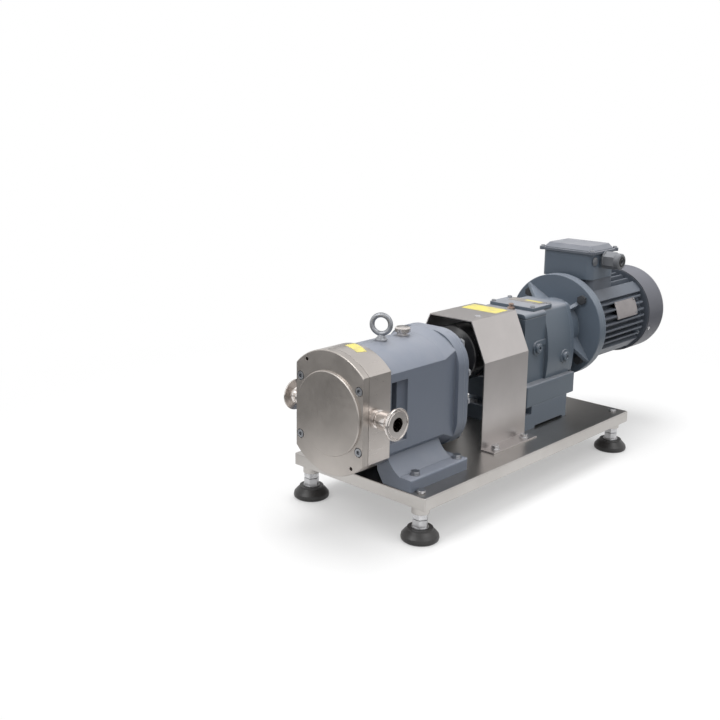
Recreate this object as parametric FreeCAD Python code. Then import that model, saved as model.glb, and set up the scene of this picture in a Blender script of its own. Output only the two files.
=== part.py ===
import FreeCAD, Part
import os
from math import acos, cos, hypot, pi, radians, sin, sqrt, tan
from FreeCAD import Vector

# Rotary lobe pump driven by an in-line geared motor, on a folded stainless tray with levelling feet.
# X is across the pump, with a port on each side. Y runs back along the shafts, from the front cover
# to the fan cowl. Z is up from the floor. All sizes are in millimetres.
# Pieces are placed by their distance behind the rim of the front cover, and are shifted at the end
# so that the origin lies on the floor below the middle of the whole set.

# Fits between pieces
running_fit = 0.05
close_gap = 0.3

# Folded tray and its levelling feet
tray_width = 282.4
tray_top = 76.2
tray_sheet = 3.0
tray_skirt = 20.0
tray_front_margin = 2.0
tray_back_margin = 109.6
foot_inset = 22.5
foot_inset_front = 17.5
foot_inset_back = 20.0
pad_radius = 30.0
pad_height = 18.0
pad_collar_radius = 21.0
pad_collar_height = 4.0
stud_radius = 7.0
stud_hex_flats = 22.0
stud_hex_height = 12.0
stud_nut_gap = 1.0
stud_above_tray = 4.0
lock_nut_height = 9.0
tray_boss_radius = 14.0

# Timing gears set the distance between the two pump shafts
pump_centre_above_tray = 115.8
timing_module = 3.0
timing_teeth = 26
timing_gear_width = 22.0

# Rotors and rotor case
lobe_count = 3
lobe_height = 9.5
rotor_relief = 0.25
rotor_width = 40.4
rotor_bore_gap = 0.5
rotor_end_gap = 0.3
case_wall = 10.25
case_side_wall = 21.55
case_back_wall = 7.0
seal_boss_radius = 31.0
seal_boss_length = 22.0
seal_bore_radius = 25.0
seal_ring_radius = 22.0
shaft_hole_gap = 1.5

# Front cover
cover_thickness = 13.0
cover_boss_radius = 66.6
cover_boss_height = 4.0
cover_edge = 1.2
cover_seam = 0.8
nut_pocket_depth = 12.0
nut_pocket_gap = 2.0
cover_screw_radius = 4.0
cover_screw_inset = 8.8
cover_screw_rise = 47.0
cover_screw_depth = 18.0
jack_hole_radius = 3.0
jack_hole_circle = 90.0
jack_hole_angle = 122.0
cover_seal_width = 3.2
cover_seal_depth = 2.4
cover_seal_offset = 4.0

# Ports with clamp ferrules
port_bore_radius = 11.05
port_tube_radius = 12.7
port_length = 39.0
sleeve_radius = 14.9
sleeve_length = 15.0
ferrule_radius = 25.25
ferrule_rim = 2.8

# Pump shafts
rotor_seat_radius = 14.0
rotor_nut_thread_radius = 8.0
rotor_nut_radius = 17.0
rotor_nut_height = 9.8
seal_shaft_radius = 16.0
bearing_seat_radius = 17.5
bearing_outer_radius = 31.0
bearing_width = 17.0
gear_seat_radius = 16.0
coupling_shaft_radius = 14.0

# Cast bearing housing
housing_step = 4.0
housing_length = 157.0
housing_flare_length = 25.0
housing_flare = 7.0
housing_rear_ring = 16.0
window_length = 38.0
window_drop = 48.0
window_rise = 49.0
window_front_wall = 2.0
window_flare = 12.0
gear_room_gap = 2.0
gear_room_depth = 28.0
oil_room_radius = 33.0
pedestal_length = 126.0
pedestal_foot_length = 143.0
pedestal_front = 4.0
foot_flange_clearance = 1.2
foot_flange_height = 19.5
flare_setback = 22.5
flare_neck = 62.0
flare_rise = 46.0
arch_half_width = 55.0
arch_neck_half_width = 43.0
foot_bolt_radius = 4.0
foot_bolt_inset = 13.0
foot_bolt_front = 26.0
foot_bolt_rear = 13.0

# Rear gear cover of the pump
gear_cover_overhang = 8.5
gear_cover_half_height = 99.0
gear_cover_corner = 57.0
gear_cover_thickness = 10.0
gear_cover_bolt_radius = 4.0
gear_cover_bolt_inset = 6.5
gear_cover_bolt_rises = (31.0, -17.0)
gear_cover_bolt_depth = 10.0
seal_collar_radius = 38.0
seal_collar_length = 6.0
oil_seal_radius = 26.0
oil_seal_width = 8.0

# Eye bolt and breather
eye_bolt_back = 55.5
eye_ring_radius = 15.0
eye_wire_radius = 4.0
eye_rise = 26.0
eye_turn = 27.0
eye_shank_radius = 4.0
eye_shank_length = 12.0
eye_collar_radius = 10.0
eye_collar_height = 9.0
breather_back = 108.0
breather_radius = 13.0
breather_bore = 6.0
breather_depth = 8.0

# Jaw coupling
coupling_radius = 50.0
coupling_hub_radius = 38.0
coupling_gap_behind_pump = 14.0
coupling_hub_length = 62.0
coupling_flange = 25.0
jaw_length = 18.0
jaw_count = 3
jaw_ring_inner = 22.0
spider_gap = 0.3

# Bent sheet guard over the coupling
guard_sheet = 2.0
guard_behind_coupling_front = 30.0
guard_length = 129.0
guard_half_width = 75.0
guard_top_half_width = 44.7
guard_shoulder_drop = 2.0
guard_rise = 65.8
guard_foot_reach = 101.0
guard_bolt_radius = 4.0
guard_bolt_inset = 22.0
guard_screw_back = 40.0
guard_screw_inset = 16.7

# Riser block below the gear unit
riser_half_width = 70.0
riser_step_back = 11.0
riser_length = 117.0
riser_toe = 23.0
riser_toe_height = 28.0
riser_wall = 12.0
riser_slot_height = 4.0

# Two-stage in-line gear unit
gear_shaft_height = 112.0
stage_one_module = 2.5
stage_one_pinion_teeth = 14
stage_one_wheel_teeth = 34
stage_two_module = 3.0
stage_two_pinion_teeth = 12
stage_gear_width = 22.0
gear_case_behind_coupling = 33.4
gear_case_front_length = 66.0
gear_case_rear_length = 78.0
gear_case_front_half_width = 55.0
gear_case_rear_half_width = 64.2
gear_case_low_half_width = 49.0
gear_case_high_half_width = 47.2
gear_case_top = 56.0
gear_case_wall = 8.0
gear_case_floor = 6.0
gear_case_front_wall = 14.0
gear_case_corner = 8.0
gear_case_groove = 1.2
gear_foot_height = 39.0
gear_foot_overhang = 6.0
output_boss_radius = 47.0
output_boss_length = 8.0
web_setback = 60.0
web_thickness = 14.0
rear_bearing_seat_radius = 12.5
rear_bearing_outer_radius = 26.0
rear_bearing_width = 12.0
lay_bearing_seat_radius = 8.5
lay_bearing_outer_radius = 20.0
lay_bearing_width = 10.0
lay_shaft_radius = 11.0
inspection_setback = 43.0
inspection_half_width = 38.0
inspection_length = 44.0
inspection_margin = 10.0
inspection_plate = 6.0
plug_radius = 9.0
plug_height = 5.0
plug_boss_rim = 4.0
front_plug_back = 40.0
front_plug_drop = 11.0
rear_plug_inset = 22.0
rear_plug_rise = 21.0

# Adapter flange between gear unit and motor
adapter_plate = 10.0
adapter_neck_length = 32.0
adapter_neck_radius = 54.0
adapter_neck_wall = 8.0
flange_radius = 100.0
flange_thickness = 11.0
flange_bolt_circle = 82.5
flange_bolt_radius = 5.0
rib_thickness = 7.0
rib_root_radius = 50.0
long_rib_radius = 97.0
short_rib_radius = 73.0

# Motor
motor_flange_thickness = 11.0
frame_length = 197.0
frame_fin_radius = 82.5
frame_core_radius = 68.0
frame_bore_radius = 62.0
fin_pitch = 12.8
fin_thickness = 3.2
fin_front_gap = 9.0
fin_back_gap = 8.0
fin_end_radius = 7.0
side_fin_shift = 2.6
fins_each_way = 3
band_half_width = 12.5
shield_ear_half_width = 9.0
stator_length = 100.0
stator_bore_radius = 41.0
stator_front_gap = 42.0
winding_length = 17.0
air_gap = 0.6
motor_shaft_radius = 12.0
motor_bearing_seat_radius = 12.5
motor_bearing_outer_radius = 26.0
motor_bearing_width = 15.0
shield_thickness = 9.0
fan_radius = 70.0
fan_blades = 8
fan_width = 22.0
fan_hub_radius = 15.0
fan_gap = 12.0
cowl_radius = 88.0
cowl_length = 66.0
cowl_sheet = 2.0
cowl_rounding = 9.0
cowl_slots = 20
cowl_slot_width = 5.0

# Terminal box
box_half_width = 55.0
box_length = 88.0
box_setback = 13.0
box_bottom = 90.0
box_height = 50.0
box_wall = 4.0
box_corner = 12.0
box_shift = 2.5
box_neck_half_width = 50.0
box_neck_start = 6.0
box_neck_overrun = 4.0
lid_overhang = 4.5
lid_rim = 5.0
lid_field = 10.0
lid_field_inset = 4.5
lid_field_chamfer = 8.5
lid_lug_radius = 6.5
gland_collar_radius = 17.0
gland_collar = 3.0
gland_flats = 30.0
gland_hex_length = 22.0
gland_barrel_radius = 15.5
gland_length = 36.0
gland_bore_radius = 4.5
gland_boss = 4.5
gland_boss_radius = 12.5
gland_back = 43.0
gland_rise = 37.0
blank_plug_back = 12.0
blank_plug_rise = 36.0
blank_plug_radius = 8.5
blank_plug_height = 4.0

# Worked out: shaft heights and radii
shaft_spacing = timing_module * timing_teeth
pitch_radius = shaft_spacing / 2
rotor_tip_radius = pitch_radius + lobe_height
rotor_room_radius = rotor_tip_radius + rotor_bore_gap
case_radius = pitch_radius + rotor_room_radius + case_wall
case_half_width = rotor_room_radius + case_side_wall
pump_z = tray_top + pump_centre_above_tray
drive_z = pump_z + pitch_radius
driven_z = pump_z - pitch_radius
stage_centres = stage_one_module * (stage_one_pinion_teeth + stage_one_wheel_teeth) / 2
stage_two_wheel_teeth = round(2 * stage_centres / stage_two_module) - stage_two_pinion_teeth
lay_z = drive_z - stage_centres
gear_foot_z = drive_z - gear_shaft_height
housing_front_radius = case_radius - housing_step
housing_top = pump_z + housing_front_radius

# Worked out: stations along Y, counted back from the rim of the front cover
case_front = cover_thickness
room_length = rotor_width + 2 * rotor_end_gap
room_back = case_front + room_length
case_back = room_back + case_back_wall
port_y = case_front + room_length / 2
housing_back = case_back + housing_length
ring_back = housing_back + housing_rear_ring
gear_cover_back = ring_back + gear_cover_thickness
collar_back = gear_cover_back + seal_collar_length
coupling_front = collar_back + coupling_gap_behind_pump
jaws_front = coupling_front + coupling_hub_length
jaws_back = jaws_front + jaw_length + 2 * close_gap
coupling_back = jaws_back + coupling_hub_length
window_front = case_back + window_front_wall
window_back = window_front + window_length
front_bearing_y = window_back + 4.0
gear_room_front = ring_back - gear_room_depth
rear_bearing_y = gear_room_front - bearing_width
timing_gear_y = gear_room_front + 3.0
gear_case_front = coupling_back + gear_case_behind_coupling
gear_case_step = gear_case_front + gear_case_front_length
gear_case_back = gear_case_step + gear_case_rear_length
stage_two_y = gear_case_front + gear_case_front_wall + 8.0
web_front = gear_case_front + web_setback
stage_one_y = gear_case_back - 22.0 - stage_gear_width
plate_back = gear_case_back + adapter_plate
flange_front = plate_back + adapter_neck_length
flange_back = flange_front + flange_thickness
motor_front = flange_back + motor_flange_thickness
frame_back = motor_front + frame_length
cowl_back = frame_back + cowl_length
stator_front = motor_front + stator_front_gap
stator_back = stator_front + stator_length
fan_front = frame_back + fan_gap
guard_front = coupling_front + guard_behind_coupling_front
guard_shoulder = drive_z - guard_shoulder_drop
guard_top = drive_z + guard_rise
riser_front = gear_case_front + riser_step_back
tray_front = case_back + pedestal_front - tray_front_margin
tray_back = riser_front + riser_length + tray_back_margin
foot_x = tray_width / 2 - foot_inset
foot_front_y = tray_front + foot_inset_front
foot_back_y = tray_back - foot_inset_back
foot_flange_reach = foot_x - stud_radius - foot_flange_clearance
flare_reach = foot_flange_reach - flare_setback
middle = (cowl_back - cover_boss_height) / 2

frames = {
    "x": (Vector(1, 0, 0), Vector(0, 0, 1)),
    "y": (Vector(0, 1, 0), Vector(0, 0, 1)),
    "z": (Vector(0, 0, 1), Vector(1, 0, 0)),
}


def box(x0, x1, y0, y1, z0, z1):
    return Part.makeBox(x1 - x0, y1 - y0, z1 - z0, Vector(x0, y0, z0))


def rod(radius, y0, y1, z, x=0.0):
    """Round bar along Y."""
    return Part.makeCylinder(radius, y1 - y0, Vector(x, y0, z), Vector(0, 1, 0))


def post(radius, z0, z1, x, y):
    """Round bar along Z."""
    return Part.makeCylinder(radius, z1 - z0, Vector(x, y, z0))


def cross_rod(radius, x0, x1, y, z):
    """Round bar along X."""
    return Part.makeCylinder(radius, x1 - x0, Vector(x0, y, z), Vector(1, 0, 0))


def turned(profile, origin, axis="y"):
    """Solid of revolution from (distance along the axis, radius) points."""
    along, out = frames[axis]
    points = [origin + along * a + out * r for a, r in profile]
    face = Part.Face(Part.makePolygon(points + points[:1]))
    return face.revolve(origin, along, 360)


def hexagon(flats, height, base, axis="z"):
    """Hexagonal prism on base; flats is its width across two opposite sides."""
    along, out = frames[axis]
    reach = flats / sqrt(3)
    points = []
    for k in range(6):
        turn = FreeCAD.Rotation(along, 60 * k)
        points.append(base + turn.multVec(out) * reach)
    face = Part.Face(Part.makePolygon(points + points[:1]))
    return face.extrude(along * height)


def plate(points, y0, y1):
    """Flat shape given by (x, z) points, as thick as from y0 to y1."""
    corners = [Vector(x, y0, z) for x, z in points]
    return Part.Face(Part.makePolygon(corners + corners[:1])).extrude(Vector(0, y1 - y0, 0))


def rounded_block(half_width, z0, z1, y0, y1, corner):
    """Block along Y whose four long edges are rounded."""
    body = box(-half_width, half_width, y0, y1, z0, z1)
    long_edges = [e for e in body.Edges if abs(e.Vertexes[0].Y - e.Vertexes[1].Y) > 0.5 * (y1 - y0)]
    return body.makeFillet(corner, long_edges)


def flat_sided_disc(radius, y0, y1, chamfer=0.0, inset=0.0, flare=0.0):
    """The pump's section: a disc about the pump centre, cut flat on both sides."""
    start = [(y0, radius - chamfer), (y0 + chamfer, radius)] if chamfer > 0 else [(y0, radius)]
    disc = turned([(y0, 0)] + start + [(y1, radius + flare), (y1, 0)], Vector(0, 0, pump_z))
    half = case_half_width - inset
    height = radius + flare
    return disc.common(box(-half, half, y0, y1, pump_z - height, pump_z + height))


def both_sides(shape):
    return [shape, shape.mirror(Vector(0, 0, 0), Vector(1, 0, 0))]


def polar(radius, angle):
    """Point in the plane of a section; angle 0 points straight down."""
    return Vector(radius * sin(angle), 0, -radius * cos(angle))


def socket_screw(x, y, z, radius, length):
    """Cap screw whose head starts at y and whose shank runs back."""
    head_depth = 2 * radius
    head = rod(1.62 * radius, y, y + head_depth, z, x)
    head = head.cut(hexagon(1.5 * radius, radius, Vector(x, y, z), "y"))
    return head.fuse(rod(radius - running_fit, y + head_depth, y + head_depth + length, z, x))


def hex_bolt_down(x, y, seat, radius, length):
    """Hex bolt whose head rests on seat and whose shank runs down, with its washer."""
    washer = post(2.0 * radius, seat, seat + 0.3 * radius, x, y)
    head_base = seat + 0.3 * radius
    head = hexagon(3.2 * radius, 1.25 * radius, Vector(x, y, head_base))
    shank = post(radius, seat - length, seat, x, y)
    return washer.fuse([head, shank])


# Tray and levelling feet

def foot_places():
    return {
        "front_right": (foot_x, foot_front_y),
        "front_left": (-foot_x, foot_front_y),
        "rear_right": (foot_x, foot_back_y),
        "rear_left": (-foot_x, foot_back_y),
    }


def pedestal_bolt_places():
    x = foot_flange_reach - foot_bolt_inset
    front = case_back + pedestal_front + foot_bolt_front
    back = case_back + pedestal_front + pedestal_foot_length - foot_bolt_rear
    return [(s * x, y) for s in (-1, 1) for y in (front, back)]


def riser_bolt_places():
    y = riser_front - riser_toe / 2
    return [(s * (riser_half_width - 20.0), y) for s in (-1, 1)]


def guard_bolt_places():
    x = (guard_half_width + guard_foot_reach) / 2
    ends = (guard_front + guard_bolt_inset, guard_front + guard_length - guard_bolt_inset)
    return [(s * x, y) for s in (-1, 1) for y in ends]


def base_tray():
    half = tray_width / 2
    tray = box(-half, half, tray_front, tray_back, tray_top - tray_skirt, tray_top)
    upright = [e for e in tray.Edges if abs(e.Vertexes[0].Z - e.Vertexes[1].Z) > 1.0]
    top_rim = [e for e in tray.Edges if min(v.Z for v in e.Vertexes) > tray_top - 0.1]
    tray = tray.makeFillet(2.0, upright + top_rim)
    hollow = box(-half + tray_sheet, half - tray_sheet, tray_front + tray_sheet,
                 tray_back - tray_sheet, tray_top - tray_skirt - 1, tray_top - tray_sheet)
    tray = tray.cut(hollow)
    boss_bottom = lock_nut_top()
    for x, y in foot_places().values():
        tray = tray.fuse(post(tray_boss_radius, boss_bottom, tray_top - tray_sheet, x, y))
    holes = [post(stud_radius + running_fit, 0, tray_top + 1, x, y) for x, y in foot_places().values()]
    for x, y in pedestal_bolt_places() + riser_bolt_places():
        holes.append(post(foot_bolt_radius + close_gap, 0, tray_top + 1, x, y))
    for x, y in guard_bolt_places():
        holes.append(post(guard_bolt_radius + close_gap, 0, tray_top + 1, x, y))
    return tray.cut(holes)


def hex_bottom():
    return pad_height + pad_collar_height


def lock_nut_top():
    return hex_bottom() + stud_hex_height + stud_nut_gap + lock_nut_height


def foot_pad(x, y):
    """Bell-shaped pad with a flat tread and a collar round the stud."""
    top = pad_height + pad_collar_height
    core = stud_radius + 4.0
    profile = [
        (0, 0), (0, pad_radius - 3), (2, pad_radius - 0.6), (5, pad_radius),
        (0.5 * pad_height, pad_radius - 0.8), (0.75 * pad_height, pad_radius - 4.5),
        (pad_height, pad_collar_radius), (top - 1.5, pad_collar_radius - 1),
        (top - 1.5, core + 3.0), (top - 2.0, core + 3.0), (top - 2.0, 0),
    ]
    pad = turned(profile, Vector(x, y, 0), "z")
    return pad.cut(post(stud_radius + running_fit, 8.0, top + 1, x, y))


def foot_stud(x, y):
    """Threaded stud with its fixed hexagon and washer face, seated in the pad."""
    seat = hex_bottom() - 2.0
    stud = post(stud_radius, 8.0, tray_top + stud_above_tray, x, y)
    hexagon_part = hexagon(stud_hex_flats, stud_hex_height, Vector(x, y, seat + 2.0))
    washer = post(stud_hex_flats / 2 + 2.5, seat, seat + 2.0, x, y)
    return stud.fuse([washer, hexagon_part])


def lock_nuts():
    nuts = []
    for x, y in foot_places().values():
        base = lock_nut_top() - lock_nut_height
        nut = hexagon(stud_hex_flats, lock_nut_height, Vector(x, y, base))
        nuts.append(nut.cut(post(stud_radius + running_fit, base - 1, base + 20, x, y)))
    return Part.makeCompound(nuts)


def foot_bolts():
    """Bolts of the pump pedestal and of the riser toe, with nuts below the tray."""
    pieces = []
    pedestal_seat = tray_top + foot_flange_height
    riser_seat = tray_top + riser_toe_height
    places = [(x, y, pedestal_seat) for x, y in pedestal_bolt_places()]
    places += [(x, y, riser_seat) for x, y in riser_bolt_places()]
    for x, y, seat in places:
        under = tray_top - tray_sheet
        bolt = hex_bolt_down(x, y, seat, foot_bolt_radius, seat - under + 11.0)
        nut_base = under - 1.6 * foot_bolt_radius
        pieces.append(bolt.fuse(hexagon(3.2 * foot_bolt_radius, 1.6 * foot_bolt_radius,
                                        Vector(x, y, nut_base))))
    return Part.makeCompound(pieces)


# Pump head

def cover_screw_places():
    x = case_half_width - cover_screw_inset
    return [(s * x, pump_z + t * cover_screw_rise) for s in (-1, 1) for t in (-1, 1)]


def shaft_heights():
    return (drive_z, driven_z)


def front_cover():
    cover = flat_sided_disc(case_radius, 0, cover_thickness - cover_seam, cover_edge)
    seam = flat_sided_disc(case_radius - cover_seam, cover_edge, cover_thickness, 0, cover_seam)
    cover = cover.fuse(seam)
    boss = [(-cover_boss_height, 0), (-cover_boss_height, cover_boss_radius - 1.5),
            (-cover_boss_height + 1.5, cover_boss_radius), (1, cover_boss_radius), (1, 0)]
    cover = cover.fuse(turned(boss, Vector(0, 0, pump_z)))
    cuts = []
    for z in shaft_heights():
        cuts.append(rod(rotor_nut_radius + nut_pocket_gap, cover_thickness - nut_pocket_depth,
                        cover_thickness + 1, z))
    for x, z in cover_screw_places():
        cuts.append(rod(cover_screw_radius + close_gap, -1, cover_thickness + 1, z, x))
        cuts.append(rod(1.9 * cover_screw_radius, -1, 1.9 * cover_screw_radius, z, x))
    for turn in (jack_hole_angle, jack_hole_angle + 180):
        x = jack_hole_circle * cos(radians(turn))
        z = pump_z + jack_hole_circle * sin(radians(turn))
        cuts.append(rod(jack_hole_radius, -1, cover_thickness + 1, z, x))
    return cover.cut(cuts)


def cover_screws():
    head_front = 1.9 * cover_screw_radius - 2 * cover_screw_radius
    return Part.makeCompound([
        socket_screw(x, head_front, z, cover_screw_radius, cover_screw_depth)
        for x, z in cover_screw_places()])


def oval(radius, y0, y1):
    """Straight-sided oval round both rotor rooms."""
    ends = [rod(radius, y0, y1, z) for z in shaft_heights()]
    return ends[0].fuse([ends[1], box(-radius, radius, y0, y1, driven_z, drive_z)])


def cover_seal():
    inner = rotor_room_radius + cover_seal_offset - cover_seal_width / 2
    y0 = case_front
    y1 = case_front + cover_seal_depth
    return oval(inner + cover_seal_width, y0, y1).cut(oval(inner, y0, y1))


def rotor_case():
    case = flat_sided_disc(case_radius, case_front, case_back)
    for z in shaft_heights():
        case = case.fuse(rod(seal_boss_radius, case_back, case_back + seal_boss_length, z))
    cuts = []
    for z in shaft_heights():
        cuts.append(rod(rotor_room_radius, case_front - 1, room_back, z))
        cuts.append(rod(seal_shaft_radius + shaft_hole_gap, room_back - 1, case_back + 1, z))
        cuts.append(rod(seal_bore_radius, case_back - 2, case_back + seal_boss_length + 1, z))
    cuts.append(cross_rod(port_bore_radius + 0.5, -case_half_width - 1, case_half_width + 1,
                          port_y, pump_z))
    for x, z in cover_screw_places():
        cuts.append(rod(cover_screw_radius, case_front - 1, case_front + cover_screw_depth, z, x))
    inner = rotor_room_radius + cover_seal_offset - cover_seal_width / 2 - 0.1
    groove = oval(inner + cover_seal_width + 0.2, case_front - 1, case_front + cover_seal_depth)
    cuts.append(groove.cut(oval(inner, case_front - 1, case_front + cover_seal_depth)))
    return case.cut(cuts)


def port_stub():
    """Tube with a turned sleeve and a clamp ferrule, on the right side."""
    root = case_half_width
    face = root + port_length
    rim_back = face - ferrule_rim
    cone_end = rim_back - (ferrule_radius - port_tube_radius - 1.5) * tan(radians(20))
    sleeve_start = root + 8.5
    profile = [
        (root, port_bore_radius), (root, port_tube_radius + 1.8), (root + 2.5, port_tube_radius + 1.8),
        (root + 3.5, port_tube_radius - 0.5), (sleeve_start - 1, port_tube_radius - 0.5),
        (sleeve_start, sleeve_radius), (sleeve_start + sleeve_length, sleeve_radius),
        (sleeve_start + sleeve_length + 1.5, port_tube_radius), (cone_end - 2.0, port_tube_radius),
        (cone_end, port_tube_radius + 1.5), (rim_back, ferrule_radius),
        (face - 0.5, ferrule_radius), (face, ferrule_radius - 0.5),
        (face, ferrule_radius - 2.2), (face - 1.4, ferrule_radius - 3.0),
        (face - 1.4, ferrule_radius - 4.6), (face, ferrule_radius - 5.4),
        (face, port_bore_radius),
    ]
    return turned(profile, Vector(0, port_y, pump_z), "x")


def rotor_outline(height):
    """Closed outline of a lobe rotor: round tips, and valleys that the mate's tips roll through."""
    half_pitch = pi / (2 * lobe_count)
    chord = 2 * pitch_radius * cos(half_pitch)
    tip_round = ((rotor_tip_radius - chord) * rotor_tip_radius + pitch_radius ** 2) \
        / (2 * rotor_tip_radius - chord)
    tip_centre = rotor_tip_radius - tip_round
    edges = []
    steps = 8
    for lobe in range(lobe_count):
        turn = 2 * pi * lobe / lobe_count
        centre = polar(tip_centre, turn)
        ends = []
        for side in (-1, 1):
            joint = polar(pitch_radius, turn + side * half_pitch)
            ends.append(joint + (centre - joint) * (rotor_relief / tip_round))
        top = polar(rotor_tip_radius - rotor_relief, turn)
        edges.append(Part.Arc(ends[0], top, ends[1]).toShape())
        valley = turn + pi / lobe_count
        outward = polar(1, valley)
        along = polar(1, valley + pi / 2)
        points = [ends[1]]
        for step in range(1, steps):
            roll = half_pitch * (2 * step / steps - 1)
            mate = outward * (shaft_spacing * cos(roll) - tip_centre * cos(2 * roll)) \
                + along * (shaft_spacing * sin(roll) - tip_centre * sin(2 * roll))
            pitch_point = outward * (pitch_radius * cos(roll)) + along * (pitch_radius * sin(roll))
            inward = pitch_point - mate
            points.append(mate + inward * ((tip_round + rotor_relief) / inward.Length))
        next_joint = polar(pitch_radius, valley + half_pitch)
        next_centre = polar(tip_centre, turn + 2 * pi / lobe_count)
        points.append(next_joint + (next_centre - next_joint) * (rotor_relief / tip_round))
        curve = Part.BSplineCurve()
        curve.interpolate(points)
        edges.append(curve.toShape())
    wire = Part.Wire(edges)
    wire.translate(Vector(0, 0, height))
    return wire


def lobe_rotor(height):
    front = case_front + rotor_end_gap
    body = Part.Face(rotor_outline(height)).extrude(Vector(0, rotor_width, 0))
    body.translate(Vector(0, front, 0))
    return body.cut(rod(rotor_seat_radius + running_fit, front - 1, front + rotor_width + 1, height))


def rotor_nut(height):
    """Domed nut that holds a rotor on its shaft, with a hexagon socket in its face."""
    back = case_front + rotor_end_gap
    front = back - rotor_nut_height
    profile = [(front, 0), (front, rotor_nut_radius - 5), (front + 3, rotor_nut_radius - 1.5),
               (front + 6, rotor_nut_radius), (back, rotor_nut_radius), (back, 0)]
    nut = turned(profile, Vector(0, 0, height))
    nut = nut.cut(hexagon(10.0, 2.5, Vector(0, front, height), "y"))
    return nut.cut(rod(rotor_nut_thread_radius + running_fit, front + 3.5, back + 1, height))


def seal_ring(height):
    """Rotating face of the shaft seal, inside the seal boss."""
    front = case_back + 1.0
    back = case_back + seal_boss_length - 3.0
    bore = seal_shaft_radius + running_fit
    profile = [(front, bore), (front, seal_ring_radius - 2), (front + 5, seal_ring_radius - 2),
               (front + 5, seal_ring_radius), (back, seal_ring_radius), (back, bore)]
    return turned(profile, Vector(0, 0, height))


# Bearing housing

def pedestal_side():
    """Right leg: a flared web that ends in a foot flange."""
    y0 = case_back + pedestal_front
    foot_top = tray_top + foot_flange_height
    inner = [Vector(arch_neck_half_width - 2, y0, pump_z - 0.75 * housing_front_radius),
             Vector(arch_neck_half_width, y0, foot_top), Vector(arch_half_width, y0, tray_top),
             Vector(flare_reach, y0, tray_top), Vector(flare_reach, y0, foot_top + 0.5)]
    neck = Vector(flare_neck, y0, tray_top + flare_rise)
    middle_point = Vector(flare_neck + 0.43 * (flare_reach - flare_neck), y0,
                          foot_top + 0.42 * (flare_rise - foot_flange_height))
    edges = [Part.makePolygon(inner).Edges[k] for k in range(4)]
    edges.append(Part.Arc(inner[-1], middle_point, neck).toShape())
    edges.append(Part.makeLine(neck, inner[0]))
    web = Part.Face(Part.Wire(edges)).extrude(Vector(0, pedestal_length, 0))
    flange = box(arch_half_width, foot_flange_reach, y0, y0 + pedestal_foot_length, tray_top, foot_top)
    outer = [e for e in flange.Edges
             if min(v.X for v in e.Vertexes) > foot_flange_reach - 0.1 and
             min(v.Z for v in e.Vertexes) > foot_top - 0.1]
    upright = [e for e in flange.Edges
               if min(v.X for v in e.Vertexes) > foot_flange_reach - 0.1 and
               max(v.Z for v in e.Vertexes) - min(v.Z for v in e.Vertexes) > 1]
    flange = flange.makeFillet(3.0, outer + upright)
    return web.fuse(flange)


def gear_cover_outline(y0, y1):
    return rounded_block(case_half_width + gear_cover_overhang, pump_z - gear_cover_half_height,
                         pump_z + gear_cover_half_height, y0, y1, gear_cover_corner)


def bearing_housing():
    flare_front = housing_back - housing_flare_length
    body = flat_sided_disc(housing_front_radius, case_back, flare_front)
    body = body.fuse([flat_sided_disc(housing_front_radius, flare_front, housing_back, 0, 0, housing_flare),
                      gear_cover_outline(housing_back, ring_back)])
    for leg in both_sides(pedestal_side()):
        body = body.fuse(leg)
    cuts = [box(-case_half_width - 1, case_half_width + 1, window_front, window_back - window_flare,
                pump_z - window_drop, pump_z + window_rise)]
    for s in (-1, 1):
        cuts.append(post(window_flare, pump_z - window_drop, pump_z + window_rise, s * case_half_width,
                         window_back - window_flare))
    tip = pitch_radius + 0.8 * timing_module
    for z in shaft_heights():
        cuts.append(rod(bearing_outer_radius + running_fit, front_bearing_y,
                        front_bearing_y + bearing_width, z))
        cuts.append(rod(seal_shaft_radius + 4.0, window_front, front_bearing_y + 1, z))
        cuts.append(rod(oil_room_radius, front_bearing_y + bearing_width + 3, rear_bearing_y - 3, z))
        cuts.append(rod(bearing_outer_radius - 4, front_bearing_y, rear_bearing_y + 1, z))
        cuts.append(rod(bearing_outer_radius + running_fit, rear_bearing_y, gear_room_front + 1, z))
        cuts.append(rod(tip + gear_room_gap, gear_room_front, ring_back + 1, z))
        boss_gap = seal_boss_radius + 2.0
        cuts.append(rod(boss_gap, case_back - 1, case_back + seal_boss_length + 2, z))
    cuts.append(post(eye_shank_radius + running_fit, housing_top - eye_shank_length - 1,
                     housing_top + 5, 0, case_back + eye_bolt_back))
    cuts.append(post(breather_bore, drive_z, housing_top + 5, 0, case_back + breather_back))
    for x, y in pedestal_bolt_places():
        cuts.append(post(foot_bolt_radius + close_gap, tray_top - 1, tray_top + 60, x, y))
    for x, z in gear_cover_bolt_places():
        cuts.append(rod(gear_cover_bolt_radius, ring_back - gear_cover_bolt_depth - 2, ring_back + 1, z, x))
    return body.cut(cuts)


def gear_cover_bolt_places():
    """Two bolts on each straight side, and one in each rounded corner."""
    side_x = case_half_width + gear_cover_overhang - gear_cover_bolt_inset
    reach = (gear_cover_corner - gear_cover_bolt_inset) * cos(radians(45))
    corner_x = case_half_width + gear_cover_overhang - gear_cover_corner + reach
    corner_rise = gear_cover_half_height - gear_cover_corner + reach
    right = [(side_x, pump_z + rise) for rise in gear_cover_bolt_rises]
    right += [(corner_x, pump_z + corner_rise), (corner_x, pump_z - corner_rise)]
    return right + [(-x, z) for x, z in right]


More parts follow.
